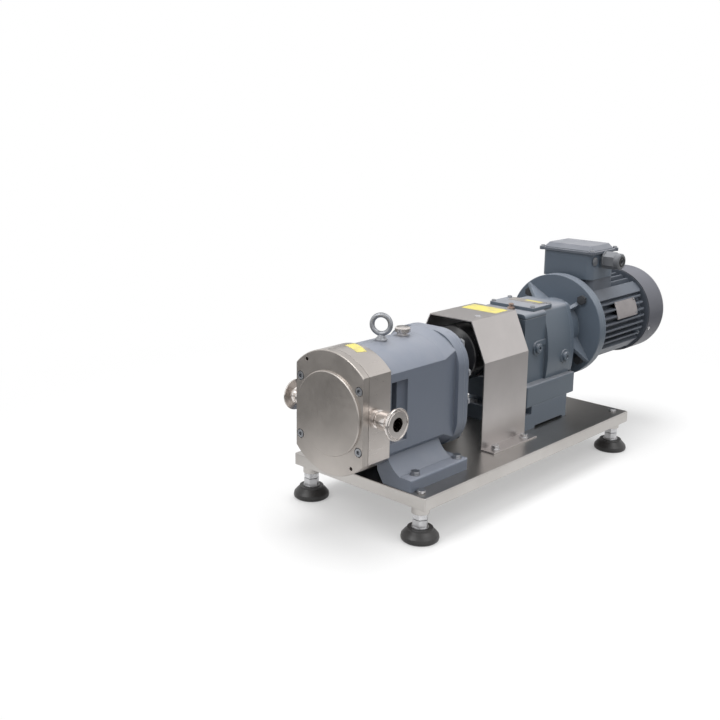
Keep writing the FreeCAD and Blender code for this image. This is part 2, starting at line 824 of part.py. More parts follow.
def gear_cover():
    cover = gear_cover_outline(ring_back, gear_cover_back)
    cover = cover.fuse(rod(seal_collar_radius, gear_cover_back - 1, collar_back, drive_z))
    cuts = [rod(coupling_shaft_radius + 2, ring_back - 1, collar_back + 1, drive_z),
            rod(oil_seal_radius + running_fit, collar_back - oil_seal_width, collar_back + 1, drive_z)]
    for x, z in gear_cover_bolt_places():
        cuts.append(rod(gear_cover_bolt_radius + close_gap, ring_back - 1, gear_cover_back + 1, z, x))
    return cover.cut(cuts)


def gear_cover_bolts():
    bolts = []
    radius = gear_cover_bolt_radius
    for x, z in gear_cover_bolt_places():
        washer = rod(2 * radius, gear_cover_back, gear_cover_back + 1.2, z, x)
        head = hexagon(3.2 * radius, 1.3 * radius, Vector(x, gear_cover_back + 1.2, z), "y")
        shank = rod(radius - running_fit, ring_back - gear_cover_bolt_depth, gear_cover_back, z, x)
        bolts.append(washer.fuse([head, shank]))
    return Part.makeCompound(bolts)


def bearing_ring(y0, height, outer, inner, width):
    """Shielded rolling bearing as one ring with a shallow groove in both faces."""
    low = inner + 0.3 * (outer - inner)
    high = inner + 0.72 * (outer - inner)
    profile = [
        (y0, inner), (y0, low), (y0 + 1, low), (y0 + 1, high), (y0, high), (y0, outer),
        (y0 + width, outer), (y0 + width, high), (y0 + width - 1, high), (y0 + width - 1, low),
        (y0 + width, low), (y0 + width, inner),
    ]
    return turned(profile, Vector(0, 0, height))


def pump_bearings():
    rings = []
    for z in shaft_heights():
        for y in (front_bearing_y, rear_bearing_y):
            rings.append(bearing_ring(y, z, bearing_outer_radius, bearing_seat_radius + running_fit,
                                      bearing_width))
    return Part.makeCompound(rings)


def stepped_shaft(height, steps):
    """Shaft from (start of the step, its radius) pairs; the last pair gives the end."""
    profile = [(steps[0][0], 0)]
    for k in range(len(steps) - 1):
        profile.append((steps[k][0], steps[k][1]))
        profile.append((steps[k + 1][0], steps[k][1]))
    profile.append((steps[-1][0], 0))
    return turned(profile, Vector(0, 0, height))


def pump_shaft(height, back_steps):
    """Stepped shaft from the rotor nut's thread back; back_steps end the profile."""
    seat_front = case_front + rotor_end_gap
    thread_front = seat_front - rotor_nut_height + 4.5
    steps = [
        (thread_front, rotor_nut_thread_radius), (seat_front, rotor_seat_radius),
        (seat_front + rotor_width, seal_shaft_radius), (front_bearing_y, bearing_seat_radius),
        (rear_bearing_y + bearing_width, gear_seat_radius),
    ] + back_steps
    return stepped_shaft(height, steps)


def drive_shaft():
    gear_end = timing_gear_y + timing_gear_width
    return pump_shaft(drive_z, [(gear_end, coupling_shaft_radius), (jaws_front - 2, 0)])


def driven_shaft():
    gear_end = timing_gear_y + timing_gear_width
    return pump_shaft(driven_z, [(gear_end, 0)])


def tooth_flank(teeth, module):
    """(radius, half angle) points of one involute flank, from root to tip."""
    pressure = radians(20)
    pitch = module * teeth / 2
    base = pitch * cos(pressure)
    root = pitch - 1.05 * module
    tip = pitch + 0.8 * module
    half = pi / (2 * teeth) - 0.1 / pitch + tan(pressure) - pressure
    start = max(base, root)
    flank = [(root, half)] if root < base else []
    for part in (0.0, 0.35, 0.7, 1.0):
        radius = start + part * (tip - start)
        roll = acos(min(1.0, base / radius))
        flank.append((radius, half - (tan(roll) - roll)))
    return flank


def spur_gear(teeth, module, y0, width, height, first_tooth):
    """Toothed wheel; first_tooth is the angle of one tooth from straight down."""
    flank = tooth_flank(teeth, module)
    points = []
    for k in range(teeth):
        centre = first_tooth + 2 * pi * k / teeth
        points += [polar(r, centre - a) for r, a in flank]
        points += [polar(r, centre + a) for r, a in reversed(flank)]
    shift = Vector(0, y0, height)
    points = [p + shift for p in points]
    return Part.Face(Part.makePolygon(points + points[:1])).extrude(Vector(0, width, 0))


def gear_wheel(teeth, module, y0, width, height, first_tooth, bore):
    """Toothed wheel with a bore and a thinned web between hub and rim."""
    wheel = spur_gear(teeth, module, y0, width, height, first_tooth)
    rim = module * teeth / 2 - 2.6 * module
    hub = bore + 6.0
    cuts = [rod(bore + running_fit, y0 - 1, y0 + width + 1, height)]
    if rim - hub > 4:
        depth = 0.2 * width
        for start in (y0 - 1, y0 + width - depth):
            ring = rod(rim, start, start + depth + 1, height)
            cuts.append(ring.cut(rod(hub, start, start + depth + 1, height)))
    return wheel.cut(cuts)


def tooth_gap_up(teeth):
    return pi + pi / teeth


def upper_timing_gear():
    return gear_wheel(timing_teeth, timing_module, timing_gear_y, timing_gear_width, drive_z, 0.0,
                      gear_seat_radius)


def lower_timing_gear():
    return gear_wheel(timing_teeth, timing_module, timing_gear_y, timing_gear_width, driven_z,
                      tooth_gap_up(timing_teeth), gear_seat_radius)


def lip_seal(y0, height, outer, shaft):
    inner = shaft + running_fit
    profile = [(y0, inner + 2), (y0, outer), (y0 + oil_seal_width, outer),
               (y0 + oil_seal_width, inner), (y0 + 3, inner), (y0 + 3, inner + 2)]
    return turned(profile, Vector(0, 0, height))


def shaft_oil_seals():
    pump = lip_seal(collar_back - oil_seal_width, drive_z, oil_seal_radius, coupling_shaft_radius)
    gear = lip_seal(gear_case_front - output_boss_length, drive_z, oil_seal_radius,
                    coupling_shaft_radius)
    return Part.makeCompound([pump, gear])


def eye_bolt():
    y = case_back + eye_bolt_back
    neck = eye_wire_radius + 1
    collar = [(0, 0), (0, eye_collar_radius), (2.5, eye_collar_radius),
              (0.67 * eye_collar_height, neck + 1), (eye_collar_height, neck), (eye_collar_height, 0)]
    body = turned(collar, Vector(0, y, housing_top), "z")
    normal = Vector(-sin(radians(eye_turn)), cos(radians(eye_turn)), 0)
    ring = Part.makeTorus(eye_ring_radius, eye_wire_radius, Vector(0, y, housing_top + eye_rise), normal)
    shank = post(eye_shank_radius, housing_top - eye_shank_length, housing_top, 0, y)
    return body.fuse([ring, shank])


def breather_plug():
    y = case_back + breather_back
    shank = breather_bore - running_fit
    neck = breather_radius - 4
    profile = [(-breather_depth, 0), (-breather_depth, shank), (0, shank), (0, neck), (4.5, neck),
               (5.5, breather_radius - 1), (6.5, breather_radius), (12, breather_radius),
               (14, breather_radius - 2.5), (14.5, 0)]
    return turned(profile, Vector(0, y, housing_top), "z")


# Coupling and guard

def sector(inner, outer, y0, y1, start, sweep):
    """Piece of a ring about the drive axis, between two angles in degrees."""
    ring = rod(outer, y0, y1, drive_z).cut(rod(inner, y0, y1, drive_z))
    far = 2 * outer
    a = radians(start)
    b = radians(start + sweep)
    wedge = plate([(0, drive_z), (far * cos(a), drive_z + far * sin(a)),
                   (far * cos((a + b) / 2), drive_z + far * sin((a + b) / 2)),
                   (far * cos(b), drive_z + far * sin(b))], y0, y1)
    return ring.common(wedge)


def coupling_jaws(y0, y1, offset):
    """Jaws of one hub: half of the ring less the spider's arms."""
    pitch = 360 / (2 * jaw_count)
    jaw = pitch * 0.62
    return [sector(jaw_ring_inner, coupling_radius - 1.5, y0, y1,
                   offset + 2 * pitch * k - jaw / 2, jaw) for k in range(jaw_count)]


def pump_coupling_hub():
    profile = [
        (coupling_front, 0), (coupling_front, coupling_hub_radius - 1.5),
        (coupling_front + 1.5, coupling_hub_radius),
        (jaws_front - coupling_flange - 5, coupling_hub_radius),
        (jaws_front - coupling_flange, coupling_radius - 1.5),
        (jaws_front - coupling_flange + 1.5, coupling_radius), (jaws_front, coupling_radius),
        (jaws_front, 0),
    ]
    hub = turned(profile, Vector(0, 0, drive_z))
    hub = hub.fuse(coupling_jaws(jaws_front, jaws_back - close_gap, 90))
    return hub.cut(rod(coupling_shaft_radius + running_fit, coupling_front - 1, jaws_front - 1, drive_z))


def gear_coupling_hub():
    profile = [
        (jaws_back, 0), (jaws_back, coupling_radius),
        (jaws_back + coupling_flange - 1.5, coupling_radius),
        (jaws_back + coupling_flange, coupling_radius - 1.5),
        (jaws_back + coupling_flange + 5, coupling_hub_radius),
        (coupling_back - 1.5, coupling_hub_radius),
        (coupling_back, coupling_hub_radius - 1.5), (coupling_back, 0),
    ]
    hub = turned(profile, Vector(0, 0, drive_z))
    hub = hub.fuse(coupling_jaws(jaws_front + close_gap, jaws_back, 90 + 180 / jaw_count))
    return hub.cut(rod(coupling_shaft_radius + running_fit, jaws_back + 1, coupling_back + 1, drive_z))


def coupling_spider():
    """Elastic star whose arms fill the spaces between the jaws of both hubs."""
    y0 = jaws_front + close_gap
    y1 = jaws_back - close_gap
    arms = [rod(jaw_ring_inner - spider_gap, y0, y1, drive_z)]
    pitch = 360 / (2 * jaw_count)
    arm = pitch * 0.36
    for k in range(2 * jaw_count):
        start = 90 + pitch / 2 + pitch * k - arm / 2
        arms.append(sector(jaw_ring_inner - 4, coupling_radius - 2, y0, y1, start, arm))
    return arms[0].fuse(arms[1:])


def guard_profile(inset):
    """Half outline of the guard, inset by a sheet thickness."""
    slope = hypot(guard_half_width - guard_top_half_width, guard_top - guard_shoulder)
    lean = (guard_half_width - guard_top_half_width) / slope
    rise = (guard_top - guard_shoulder) / slope
    corner_shift = inset * (1 - rise) / lean
    top_shift = inset * (1 - lean) / rise
    return [(guard_half_width - inset, guard_shoulder - corner_shift),
            (guard_top_half_width - top_shift, guard_top - inset)]


def coupling_guard():
    y0 = guard_front
    y1 = guard_front + guard_length
    shoulder, top = guard_profile(0.0)
    outer = [(-shoulder[0], tray_top), (-shoulder[0], shoulder[1]), (-top[0], top[1]),
             top, shoulder, (shoulder[0], tray_top)]
    shoulder, top = guard_profile(guard_sheet)
    inner = [(-shoulder[0], tray_top - 1), (-shoulder[0], shoulder[1]), (-top[0], top[1]),
             top, shoulder, (shoulder[0], tray_top - 1)]
    guard = plate(outer, y0, y1).cut(plate(inner, y0 - 1, y1 + 1))
    foot = box(guard_half_width - guard_sheet, guard_foot_reach, y0, y1, tray_top, tray_top + guard_sheet)
    guard = guard.fuse(both_sides(foot))
    holes = [post(guard_bolt_radius + close_gap, tray_top - 1, tray_top + 5, x, y)
             for x, y in guard_bolt_places()]
    holes.append(post(guard_bolt_radius - 1 + close_gap, guard_top - 5, guard_top + 1,
                      guard_top_half_width - guard_screw_inset, y0 + guard_screw_back))
    return guard.cut(holes)


def guard_bolts():
    """Foot bolts of the guard, and the round-headed screw in its top."""
    pieces = []
    for x, y in guard_bolt_places():
        pieces.append(hex_bolt_down(x, y, tray_top + guard_sheet, guard_bolt_radius,
                                    guard_sheet + tray_sheet + 6))
    x = guard_top_half_width - guard_screw_inset
    y = guard_front + guard_screw_back
    radius = guard_bolt_radius - 1
    head = [(0, 0), (0, 2.0 * radius), (1.0, 2.0 * radius), (2.4, 1.2 * radius), (2.8, 0)]
    screw = turned(head, Vector(x, y, guard_top), "z")
    pieces.append(screw.fuse(post(radius, guard_top - 8, guard_top, x, y)))
    return Part.makeCompound(pieces)


# Gear unit

def riser_block():
    half = riser_half_width
    y0 = riser_front
    y1 = riser_front + riser_length
    block = box(-half, half, y0, y1, tray_top, gear_foot_z)
    toe = box(-half, half, y0 - riser_toe, y0, tray_top, tray_top + riser_toe_height)
    block = block.fuse(toe)
    hollow = box(-half + riser_wall, half - riser_wall, y0 + riser_wall, y1 - riser_wall,
                 tray_top - 1, gear_foot_z - riser_wall)
    slot = box(-half - 1, half + 1, y0 + riser_wall, y1 - riser_wall, tray_top - 1,
               tray_top + riser_slot_height)
    cuts = [hollow, slot]
    for x, y in riser_bolt_places():
        cuts.append(post(foot_bolt_radius + close_gap, tray_top - 1, tray_top + 60, x, y))
    return block.cut(cuts)


def bulged_block(inset, floor, y0, y1):
    """Rear section of the case: curved sides and a flat top with rounded corners."""
    low = gear_case_low_half_width - inset
    middle = gear_case_rear_half_width - inset
    high = gear_case_high_half_width - inset
    z0 = gear_foot_z + floor
    z1 = drive_z + gear_case_top - inset
    waist = z0 + 0.49 * (z1 - z0)
    right = Part.Arc(Vector(low, y0, z0), Vector(middle, y0, waist), Vector(high, y0, z1)).toShape()
    left = Part.Arc(Vector(-high, y0, z1), Vector(-middle, y0, waist), Vector(-low, y0, z0)).toShape()
    top = Part.makeLine(Vector(high, y0, z1), Vector(-high, y0, z1))
    bottom = Part.makeLine(Vector(-low, y0, z0), Vector(low, y0, z0))
    body = Part.Face(Part.Wire([right, top, left, bottom])).extrude(Vector(0, y1 - y0, 0))
    upper = [e for e in body.Edges if abs(e.Vertexes[0].Y - e.Vertexes[-1].Y) > 0.5 * (y1 - y0) and
             min(v.Z for v in e.Vertexes) > z1 - 0.1]
    return body.makeFillet(gear_case_corner - 0.5 * inset, upper)


def gear_case_outline(inset=0.0, floor=0.0):
    """Both parts of the case, or the room inside them for an inset of one wall."""
    front = rounded_block(gear_case_front_half_width - inset, gear_foot_z + floor,
                          drive_z + gear_case_top - inset, gear_case_front, gear_case_step,
                          gear_case_corner - 0.5 * inset)
    return front, bulged_block(inset, floor, gear_case_step, gear_case_back)


def gear_case_foot():
    """Block with feet along both sides of the case, open below the adapter."""
    y1 = gear_case_back + gear_foot_overhang + 3
    foot = box(-riser_half_width, riser_half_width, gear_case_front - gear_foot_overhang, y1,
               gear_foot_z, gear_foot_z + gear_foot_height)
    upright = [e for e in foot.Edges if abs(e.Vertexes[0].Z - e.Vertexes[1].Z) > 1.0]
    rim = [e for e in foot.Edges if min(v.Z for v in e.Vertexes) > gear_foot_z + gear_foot_height - 0.1]
    foot = foot.makeFillet(3.0, upright + rim)
    half = riser_half_width - gear_case_wall
    return foot.cut(box(-half, half, gear_case_back, y1 + 1, gear_foot_z + gear_case_wall,
                        gear_foot_z + gear_foot_height + 1))


def gear_case():
    front, rear = gear_case_outline()
    boss = rod(output_boss_radius, gear_case_front - output_boss_length, gear_case_front + 1, drive_z)
    side_boss = []
    for y, z, half in plug_places():
        side_boss.append(cross_rod(plug_radius + plug_boss_rim, -half, half, y, z))
    y, z, half = plug_places()[0]
    side_boss.append(box(1 - half, half - 1, y, gear_case_step + 1, z + 3, z + plug_radius + plug_boss_rim))
    case = rear.fuse([front, gear_case_foot(), boss] + side_boss)
    front_room, rear_room = gear_case_outline(gear_case_wall, gear_case_floor)
    far = 2 * gear_case_rear_half_width
    room_start = box(-far, far, gear_case_front + gear_case_front_wall, gear_case_back + 1, 0,
                     drive_z + far)
    room = front_room.fuse(rear_room).common(room_start)
    web = box(-far, far, web_front, web_front + web_thickness, 0, drive_z + far)
    cuts = [room.cut(web)]
    groove_top = drive_z + gear_case_top - gear_case_corner
    groove = box(-far, far, gear_case_front - 1, gear_case_step, groove_top - 1.5, groove_top)
    half = gear_case_front_half_width - gear_case_groove
    cuts.append(groove.cut(box(-half, half, gear_case_front + gear_case_groove, gear_case_step + 1,
                               groove_top - 2, groove_top + 1)))
    cuts.append(rod(coupling_shaft_radius + 3, gear_case_front - 20, gear_case_back, drive_z))
    cuts.append(rod(oil_seal_radius + running_fit, gear_case_front - output_boss_length - 1,
                    gear_case_front, drive_z))
    cuts.append(rod(bearing_outer_radius + running_fit, gear_case_front,
                    gear_case_front + gear_case_front_wall + 1, drive_z))
    cuts.append(rod(rear_bearing_outer_radius + running_fit, web_front + 1,
                    web_front + 1 + rear_bearing_width, drive_z))
    cuts.append(rod(lay_bearing_outer_radius + running_fit,
                    gear_case_front + gear_case_front_wall - lay_bearing_width,
                    gear_case_front + gear_case_front_wall + 1, lay_z))
    cuts.append(rod(lay_bearing_outer_radius + 4, web_front - 1, web_front + web_thickness + 1, lay_z))
    y0, y1 = inspection_span()
    cuts.append(box(-inspection_half_width, inspection_half_width, y0, y1,
                    drive_z + gear_case_top - gear_case_wall - 1, drive_z + gear_case_top + 1))
    for y, z, half in plug_places():
        for s in (-1, 1):
            start = min(s * (half - 6), s * (half + 5))
            cuts.append(cross_rod(plug_radius - 3 + running_fit, start, start + 11, y, z))
    return case.cut(cuts)


def inspection_span():
    y0 = gear_case_front + inspection_setback
    return y0, y0 + inspection_length


def plug_places():
    """(y, z, half width of the boss) of the plug low in front and of the one behind."""
    return [(gear_case_front + front_plug_back, drive_z - front_plug_drop, gear_case_front_half_width + 3),
            (gear_case_back - rear_plug_inset, lay_z + rear_plug_rise, gear_case_rear_half_width + 2)]


def gear_top_cover():
    """Plate over the inspection opening, with a raised rib along its middle."""
    y0, y1 = inspection_span()
    top = drive_z + gear_case_top
    half = inspection_half_width + inspection_margin
    lid = box(-half, half, y0 - inspection_margin, y1 + inspection_margin, top, top + inspection_plate)
    upright = [e for e in lid.Edges if abs(e.Vertexes[0].Z - e.Vertexes[1].Z) > 1.0]
    lid = lid.makeFillet(4.0, upright)
    spigot = box(-inspection_half_width + 1, inspection_half_width - 1, y0 + 1, y1 - 1, top - 3, top)
    return lid.fuse(spigot)


def gear_case_plugs():
    plugs = []
    for y, z, half in plug_places():
        profile = [(half - 5.5, 0), (half - 5.5, plug_radius - 3), (half, plug_radius - 3),
                   (half, plug_radius), (half + plug_height - 1, plug_radius),
                   (half + plug_height, plug_radius - 1), (half + plug_height, 3.5),
                   (half + plug_height - 3, 3.5), (half + plug_height - 3, 0)]
        plugs += both_sides(turned(profile, Vector(0, y, z), "x"))
    return Part.makeCompound(plugs)


def output_shaft():
    bearing_back = gear_case_front + gear_case_front_wall
    steps = [
        (jaws_back + 2, coupling_shaft_radius), (gear_case_front, bearing_seat_radius),
        (bearing_back, bearing_seat_radius + 4), (stage_two_y, bearing_seat_radius),
        (stage_two_y + stage_gear_width, bearing_seat_radius),
        (web_front - 2, rear_bearing_seat_radius),
        (web_front + 1 + rear_bearing_width, 0),
    ]
    return stepped_shaft(drive_z, steps)


def output_gear():
    return gear_wheel(stage_two_wheel_teeth, stage_two_module, stage_two_y, stage_gear_width, drive_z,
                      0.0, bearing_seat_radius)


def layshaft():
    """Shaft below the drive axis, with the second-stage pinion cut in it."""
    front = gear_case_front + gear_case_front_wall - lay_bearing_width
    back = gear_case_back - 2.0
    gear_end = stage_one_y + stage_gear_width + 4
    shaft = stepped_shaft(lay_z, [(front, lay_bearing_seat_radius),
                                  (front + lay_bearing_width, lay_shaft_radius),
                                  (gear_end, lay_bearing_seat_radius), (back, 0)])
    pinion = spur_gear(stage_two_pinion_teeth, stage_two_module, stage_two_y - 2, stage_gear_width + 4,
                       lay_z, tooth_gap_up(stage_two_pinion_teeth))
    return shaft.fuse(pinion)


def layshaft_gear():
    return gear_wheel(stage_one_wheel_teeth, stage_one_module, stage_one_y, stage_gear_width, lay_z,
                      tooth_gap_up(stage_one_wheel_teeth), lay_shaft_radius)


def gear_bearings():
    front_lay = gear_case_front + gear_case_front_wall - lay_bearing_width
    rings = [
        bearing_ring(gear_case_front, drive_z, bearing_outer_radius, bearing_seat_radius + running_fit,
                     gear_case_front_wall),
        bearing_ring(web_front + 1, drive_z, rear_bearing_outer_radius,
                     rear_bearing_seat_radius + running_fit, rear_bearing_width),
        bearing_ring(front_lay, lay_z, lay_bearing_outer_radius, lay_bearing_seat_radius + running_fit,
                     lay_bearing_width),
        bearing_ring(gear_case_back - 2 - lay_bearing_width, lay_z, lay_bearing_outer_radius,
                     lay_bearing_seat_radius + running_fit, lay_bearing_width),
        bearing_ring(gear_case_back - 2 - motor_bearing_width, drive_z, motor_bearing_outer_radius,
                     motor_bearing_seat_radius + running_fit, motor_bearing_width),
    ]
    return Part.makeCompound(rings)


# Adapter flange and motor

def flange_bolt_places():
    return [(flange_bolt_circle * cos(radians(a)), drive_z + flange_bolt_circle * sin(radians(a)))
            for a in (45, 135, 225, 315)]


def gusset(root_angle, end_angle, end_radius):
    """Triangular rib from the neck out to the flange, as seen along the shaft from root to end."""
    root = Vector(rib_root_radius * cos(radians(root_angle)), 0, rib_root_radius * sin(radians(root_angle)))
    end = Vector(end_radius * cos(radians(end_angle)), 0, end_radius * sin(radians(end_angle)))
    along = end - root
    side = Vector(along.z, 0, -along.x) * (rib_thickness / 2 / along.Length)
    start = root + Vector(0, plate_back - 1, 0) - side
    corners = [start, start + Vector(0, flange_front - plate_back + 2, 0),
               start + along + Vector(0, flange_front - plate_back + 2, 0),
               start + along + Vector(0, flange_front - plate_back - 1, 0),
               start + along * 0.25]
    rib = Part.Face(Part.makePolygon(corners + corners[:1])).extrude(side * 2)
    rib.translate(Vector(0, 0, drive_z))
    return rib


def gussets():
    """Short ribs below two of the bolts, and long ribs beside the other two."""
    short = [gusset(a, a, short_rib_radius) for a in (45, 225)]
    long_ribs = [gusset(108, 130, long_rib_radius), gusset(-18, -38, long_rib_radius)]
    return short + long_ribs


def adapter_flange():
    body = bulged_block(0.0, 0.0, gear_case_back, plate_back)
    foot_top = gear_foot_z + gear_foot_height + 1
    far = 2 * gear_case_rear_half_width
    body = body.cut(box(-far, far, gear_case_back - 1, plate_back + 1, 0, foot_top))
    neck = rod(adapter_neck_radius, plate_back - 1, flange_front + 1, drive_z)
    disc = [(flange_front, 0), (flange_front, flange_radius - 1), (flange_front + 1, flange_radius),
            (flange_back, flange_radius), (flange_back, 0)]
    body = body.fuse([neck, turned(disc, Vector(0, 0, drive_z))] + gussets())
    input_boss = rod(motor_bearing_outer_radius + 6, gear_case_back - 3 - motor_bearing_width,
                     gear_case_back + 1, drive_z)
    lay_boss = rod(lay_bearing_outer_radius + 5, gear_case_back - 3 - lay_bearing_width,
                   gear_case_back + 1, lay_z)
    body = body.fuse([input_boss, lay_boss])
    cuts = [
        rod(adapter_neck_radius - adapter_neck_wall, plate_back, flange_back + 1, drive_z),
        rod(motor_bearing_seat_radius + 2, gear_case_back - 30, plate_back + 1, drive_z),
        rod(motor_bearing_outer_radius + running_fit, gear_case_back - 4 - motor_bearing_width,
            gear_case_back - 2, drive_z),
        rod(lay_bearing_outer_radius + running_fit, gear_case_back - 4 - lay_bearing_width,
            gear_case_back - 2, lay_z),
    ]
    for x, z in flange_bolt_places():
        cuts.append(rod(flange_bolt_radius + close_gap, flange_front - 5, flange_back + 1, z, x))
    return body.cut(cuts)


def flange_bolts():
    bolts = []
    for x, z in flange_bolt_places():
        head_base = flange_front - 1.3 * flange_bolt_radius
        head = hexagon(3.2 * flange_bolt_radius, 1.3 * flange_bolt_radius, Vector(x, head_base, z), "y")
        shank = rod(flange_bolt_radius, flange_front, motor_front + 4, z, x)
        nut = hexagon(3.2 * flange_bolt_radius, 6.0, Vector(x, motor_front, z), "y")
        bolts.append(head.fuse([shank, nut]))
    return Part.makeCompound(bolts)


def motor_flange_shield():
    """Motor end shield with the mounting flange; it carries the front bearing."""
    spigot = frame_bore_radius - close_gap
    hub = motor_bearing_outer_radius + 6
    inner = flange_back + motor_bearing_width + 4
    profile = [
        (flange_back, motor_bearing_seat_radius + 2), (flange_back, flange_radius),
        (motor_front - 1, flange_radius), (motor_front, flange_radius - 1),
        (motor_front, spigot), (motor_front + 8, spigot), (motor_front + 8, spigot - 6),
        (motor_front, spigot - 12), (motor_front, hub), (inner, hub),
        (inner, motor_bearing_outer_radius + running_fit),
        (inner - motor_bearing_width, motor_bearing_outer_radius + running_fit),
        (inner - motor_bearing_width, motor_bearing_seat_radius + 2),
    ]
    shield = turned(profile, Vector(0, 0, drive_z))
    holes = [rod(flange_bolt_radius + close_gap, flange_back - 1, motor_front + 1, z, x)
             for x, z in flange_bolt_places()]
    return shield.cut(holes)


def cooling_fin(offset, y0, y1):
    """Fin that stands up beside the middle plane, its outer corners rounded."""
    x = offset - fin_thickness / 2
    root = drive_z + 0.5 * frame_core_radius
    top = drive_z + sqrt(frame_fin_radius ** 2 - offset ** 2)
    corner = fin_end_radius
    cut = corner * (1 - sqrt(0.5))
    front = Part.Arc(Vector(x, y0, top - corner), Vector(x, y0 + cut, top - cut),
                     Vector(x, y0 + corner, top)).toShape()
    back = Part.Arc(Vector(x, y1 - corner, top), Vector(x, y1 - cut, top - cut),
                    Vector(x, y1, top - corner)).toShape()
    ridge = Part.makeLine(Vector(x, y0 + corner, top), Vector(x, y1 - corner, top))
    sides = Part.makePolygon([Vector(x, y1, top - corner), Vector(x, y1, root), Vector(x, y0, root),
                              Vector(x, y0, top - corner)])
    outline = Part.Wire([front, ridge, back] + sides.Edges)
    return Part.Face(outline).extrude(Vector(fin_thickness, 0, 0))


def about_drive_axis(shape, angle):
    turned_shape = shape.copy()
    turned_shape.rotate(Vector(0, 0, drive_z), Vector(0, 1, 0), angle)
    return turned_shape


def cooling_fins():
    """Parallel fins in four groups; those on top start behind the terminal box."""
    front = motor_front + fin_front_gap
    back = frame_back - fin_back_gap
    behind_box = box_span()[1] + box_neck_overrun + 5.0
    fins = []
    for k in range(-fins_each_way, fins_each_way + 1):
        fins.append(cooling_fin(k * fin_pitch, behind_box, back))
        fins.append(about_drive_axis(cooling_fin(k * fin_pitch, front, back), 180))
        fins.append(about_drive_axis(cooling_fin(-k * fin_pitch - side_fin_shift, front, back), 90))
        fins.append(about_drive_axis(cooling_fin(k * fin_pitch + side_fin_shift, front, back), 270))
    return fins


def corner_bands():
    """Four smooth bands between the groups of fins, which take the long screws of the shields."""
    band = box(-band_half_width, band_half_width, motor_front + fin_front_gap, frame_back - fin_back_gap,
               drive_z + frame_core_radius - 2.0, drive_z + frame_fin_radius)
    return [about_drive_axis(band, angle) for angle in (45, 135, 225, 315)]


def motor_frame():
    """Finned tube with a neck for the terminal box on top."""
    core = rod(frame_core_radius, motor_front, frame_back, drive_z)
    y0, y1 = box_span()
    neck = box(-box_neck_half_width, box_neck_half_width, y0 + box_neck_start, y1 + box_neck_overrun,
               drive_z + 0.5 * frame_core_radius, drive_z + box_bottom)
    upright = [e for e in neck.Edges if abs(e.Vertexes[0].Z - e.Vertexes[1].Z) > 1.0]
    neck = neck.makeFillet(box_corner, upright)
    frame = core.fuse(cooling_fins() + corner_bands() + [neck])
    return frame.cut(rod(frame_bore_radius, motor_front - 1, frame_back + 1, drive_z))


def stator_core():
    """Laminated ring with its end windings."""
    outer = frame_bore_radius - running_fit
    wound = outer - 5
    a = stator_front - winding_length
    b = stator_back + winding_length
    profile = [(a, stator_bore_radius + 3), (a, wound), (stator_front, wound), (stator_front, outer),
               (stator_back, outer), (stator_back, wound), (b, wound), (b, stator_bore_radius + 3),
               (stator_back, stator_bore_radius + 3), (stator_back, stator_bore_radius),
               (stator_front, stator_bore_radius), (stator_front, stator_bore_radius + 3)]
    return turned(profile, Vector(0, 0, drive_z))


def motor_rotor():
    """Rotor core on its shaft; the first-stage pinion is cut in the shaft's front end."""
    core = stator_bore_radius - air_gap
    gearbox_bearing_back = gear_case_back - 2
    front_bearing = flange_back + 4
    steps = [
        (stage_one_y, motor_shaft_radius),
        (gearbox_bearing_back - motor_bearing_width, motor_bearing_seat_radius),
        (gearbox_bearing_back, motor_bearing_seat_radius - 0.5),
        (front_bearing, motor_bearing_seat_radius), (front_bearing + motor_bearing_width, 16.0),
        (stator_front - 3, core), (stator_back + 3, 16.0),
        (frame_back - motor_bearing_width, motor_bearing_seat_radius),
        (frame_back, motor_shaft_radius - 2), (fan_front + fan_width, 0),
    ]
    shaft = stepped_shaft(drive_z, steps)
    pinion = spur_gear(stage_one_pinion_teeth, stage_one_module, stage_one_y, stage_gear_width,
                       drive_z, 0.0)
    return shaft.fuse(pinion)


def rear_end_shield():
    """Rear shield: closes the frame and carries the rear bearing and the fan cowl."""
    spigot = frame_bore_radius - close_gap
    hub = motor_bearing_outer_radius + 6
    bearing_front = frame_back - motor_bearing_width
    profile = [
        (bearing_front - 2, hub), (bearing_front - 2, motor_bearing_outer_radius + running_fit),
        (frame_back, motor_bearing_outer_radius + running_fit),
        (frame_back, motor_shaft_radius), (frame_back + shield_thickness, motor_shaft_radius),
        (frame_back + shield_thickness, frame_core_radius),
        (frame_back + 5, cowl_radius - cowl_sheet - close_gap),
        (frame_back, cowl_radius - cowl_sheet - close_gap),
        (frame_back, spigot), (frame_back - 7, spigot), (frame_back - 7, spigot - 6),
        (frame_back, spigot - 12), (frame_back, hub),
    ]
    shield = turned(profile, Vector(0, 0, drive_z))
    ear = box(-shield_ear_half_width, shield_ear_half_width, frame_back - fin_back_gap + close_gap,
              frame_back + 1, drive_z + frame_core_radius + close_gap, drive_z + frame_fin_radius - 2.0)
    return shield.fuse([about_drive_axis(ear, angle) for angle in (45, 135, 225, 315)])


def cooling_fan():
    front = fan_front
    back = fan_front + fan_width
    bore = motor_shaft_radius - 2 + running_fit
    plate_radius = 0.55 * fan_radius
    hub = [(front, bore), (front, plate_radius), (front + 2.5, plate_radius),
           (front + 2.5, fan_hub_radius), (back, fan_hub_radius - 2), (back, bore)]
    fan = turned(hub, Vector(0, 0, drive_z))
    blades = []
    for k in range(fan_blades):
        blade = box(fan_hub_radius - 3, fan_radius, front, back, -1.25, 1.25)
        blade.rotate(Vector(0, 0, 0), Vector(0, 1, 0), 360 * k / fan_blades)
        blade.translate(Vector(0, 0, drive_z))
        blades.append(blade)
    return fan.fuse(blades)


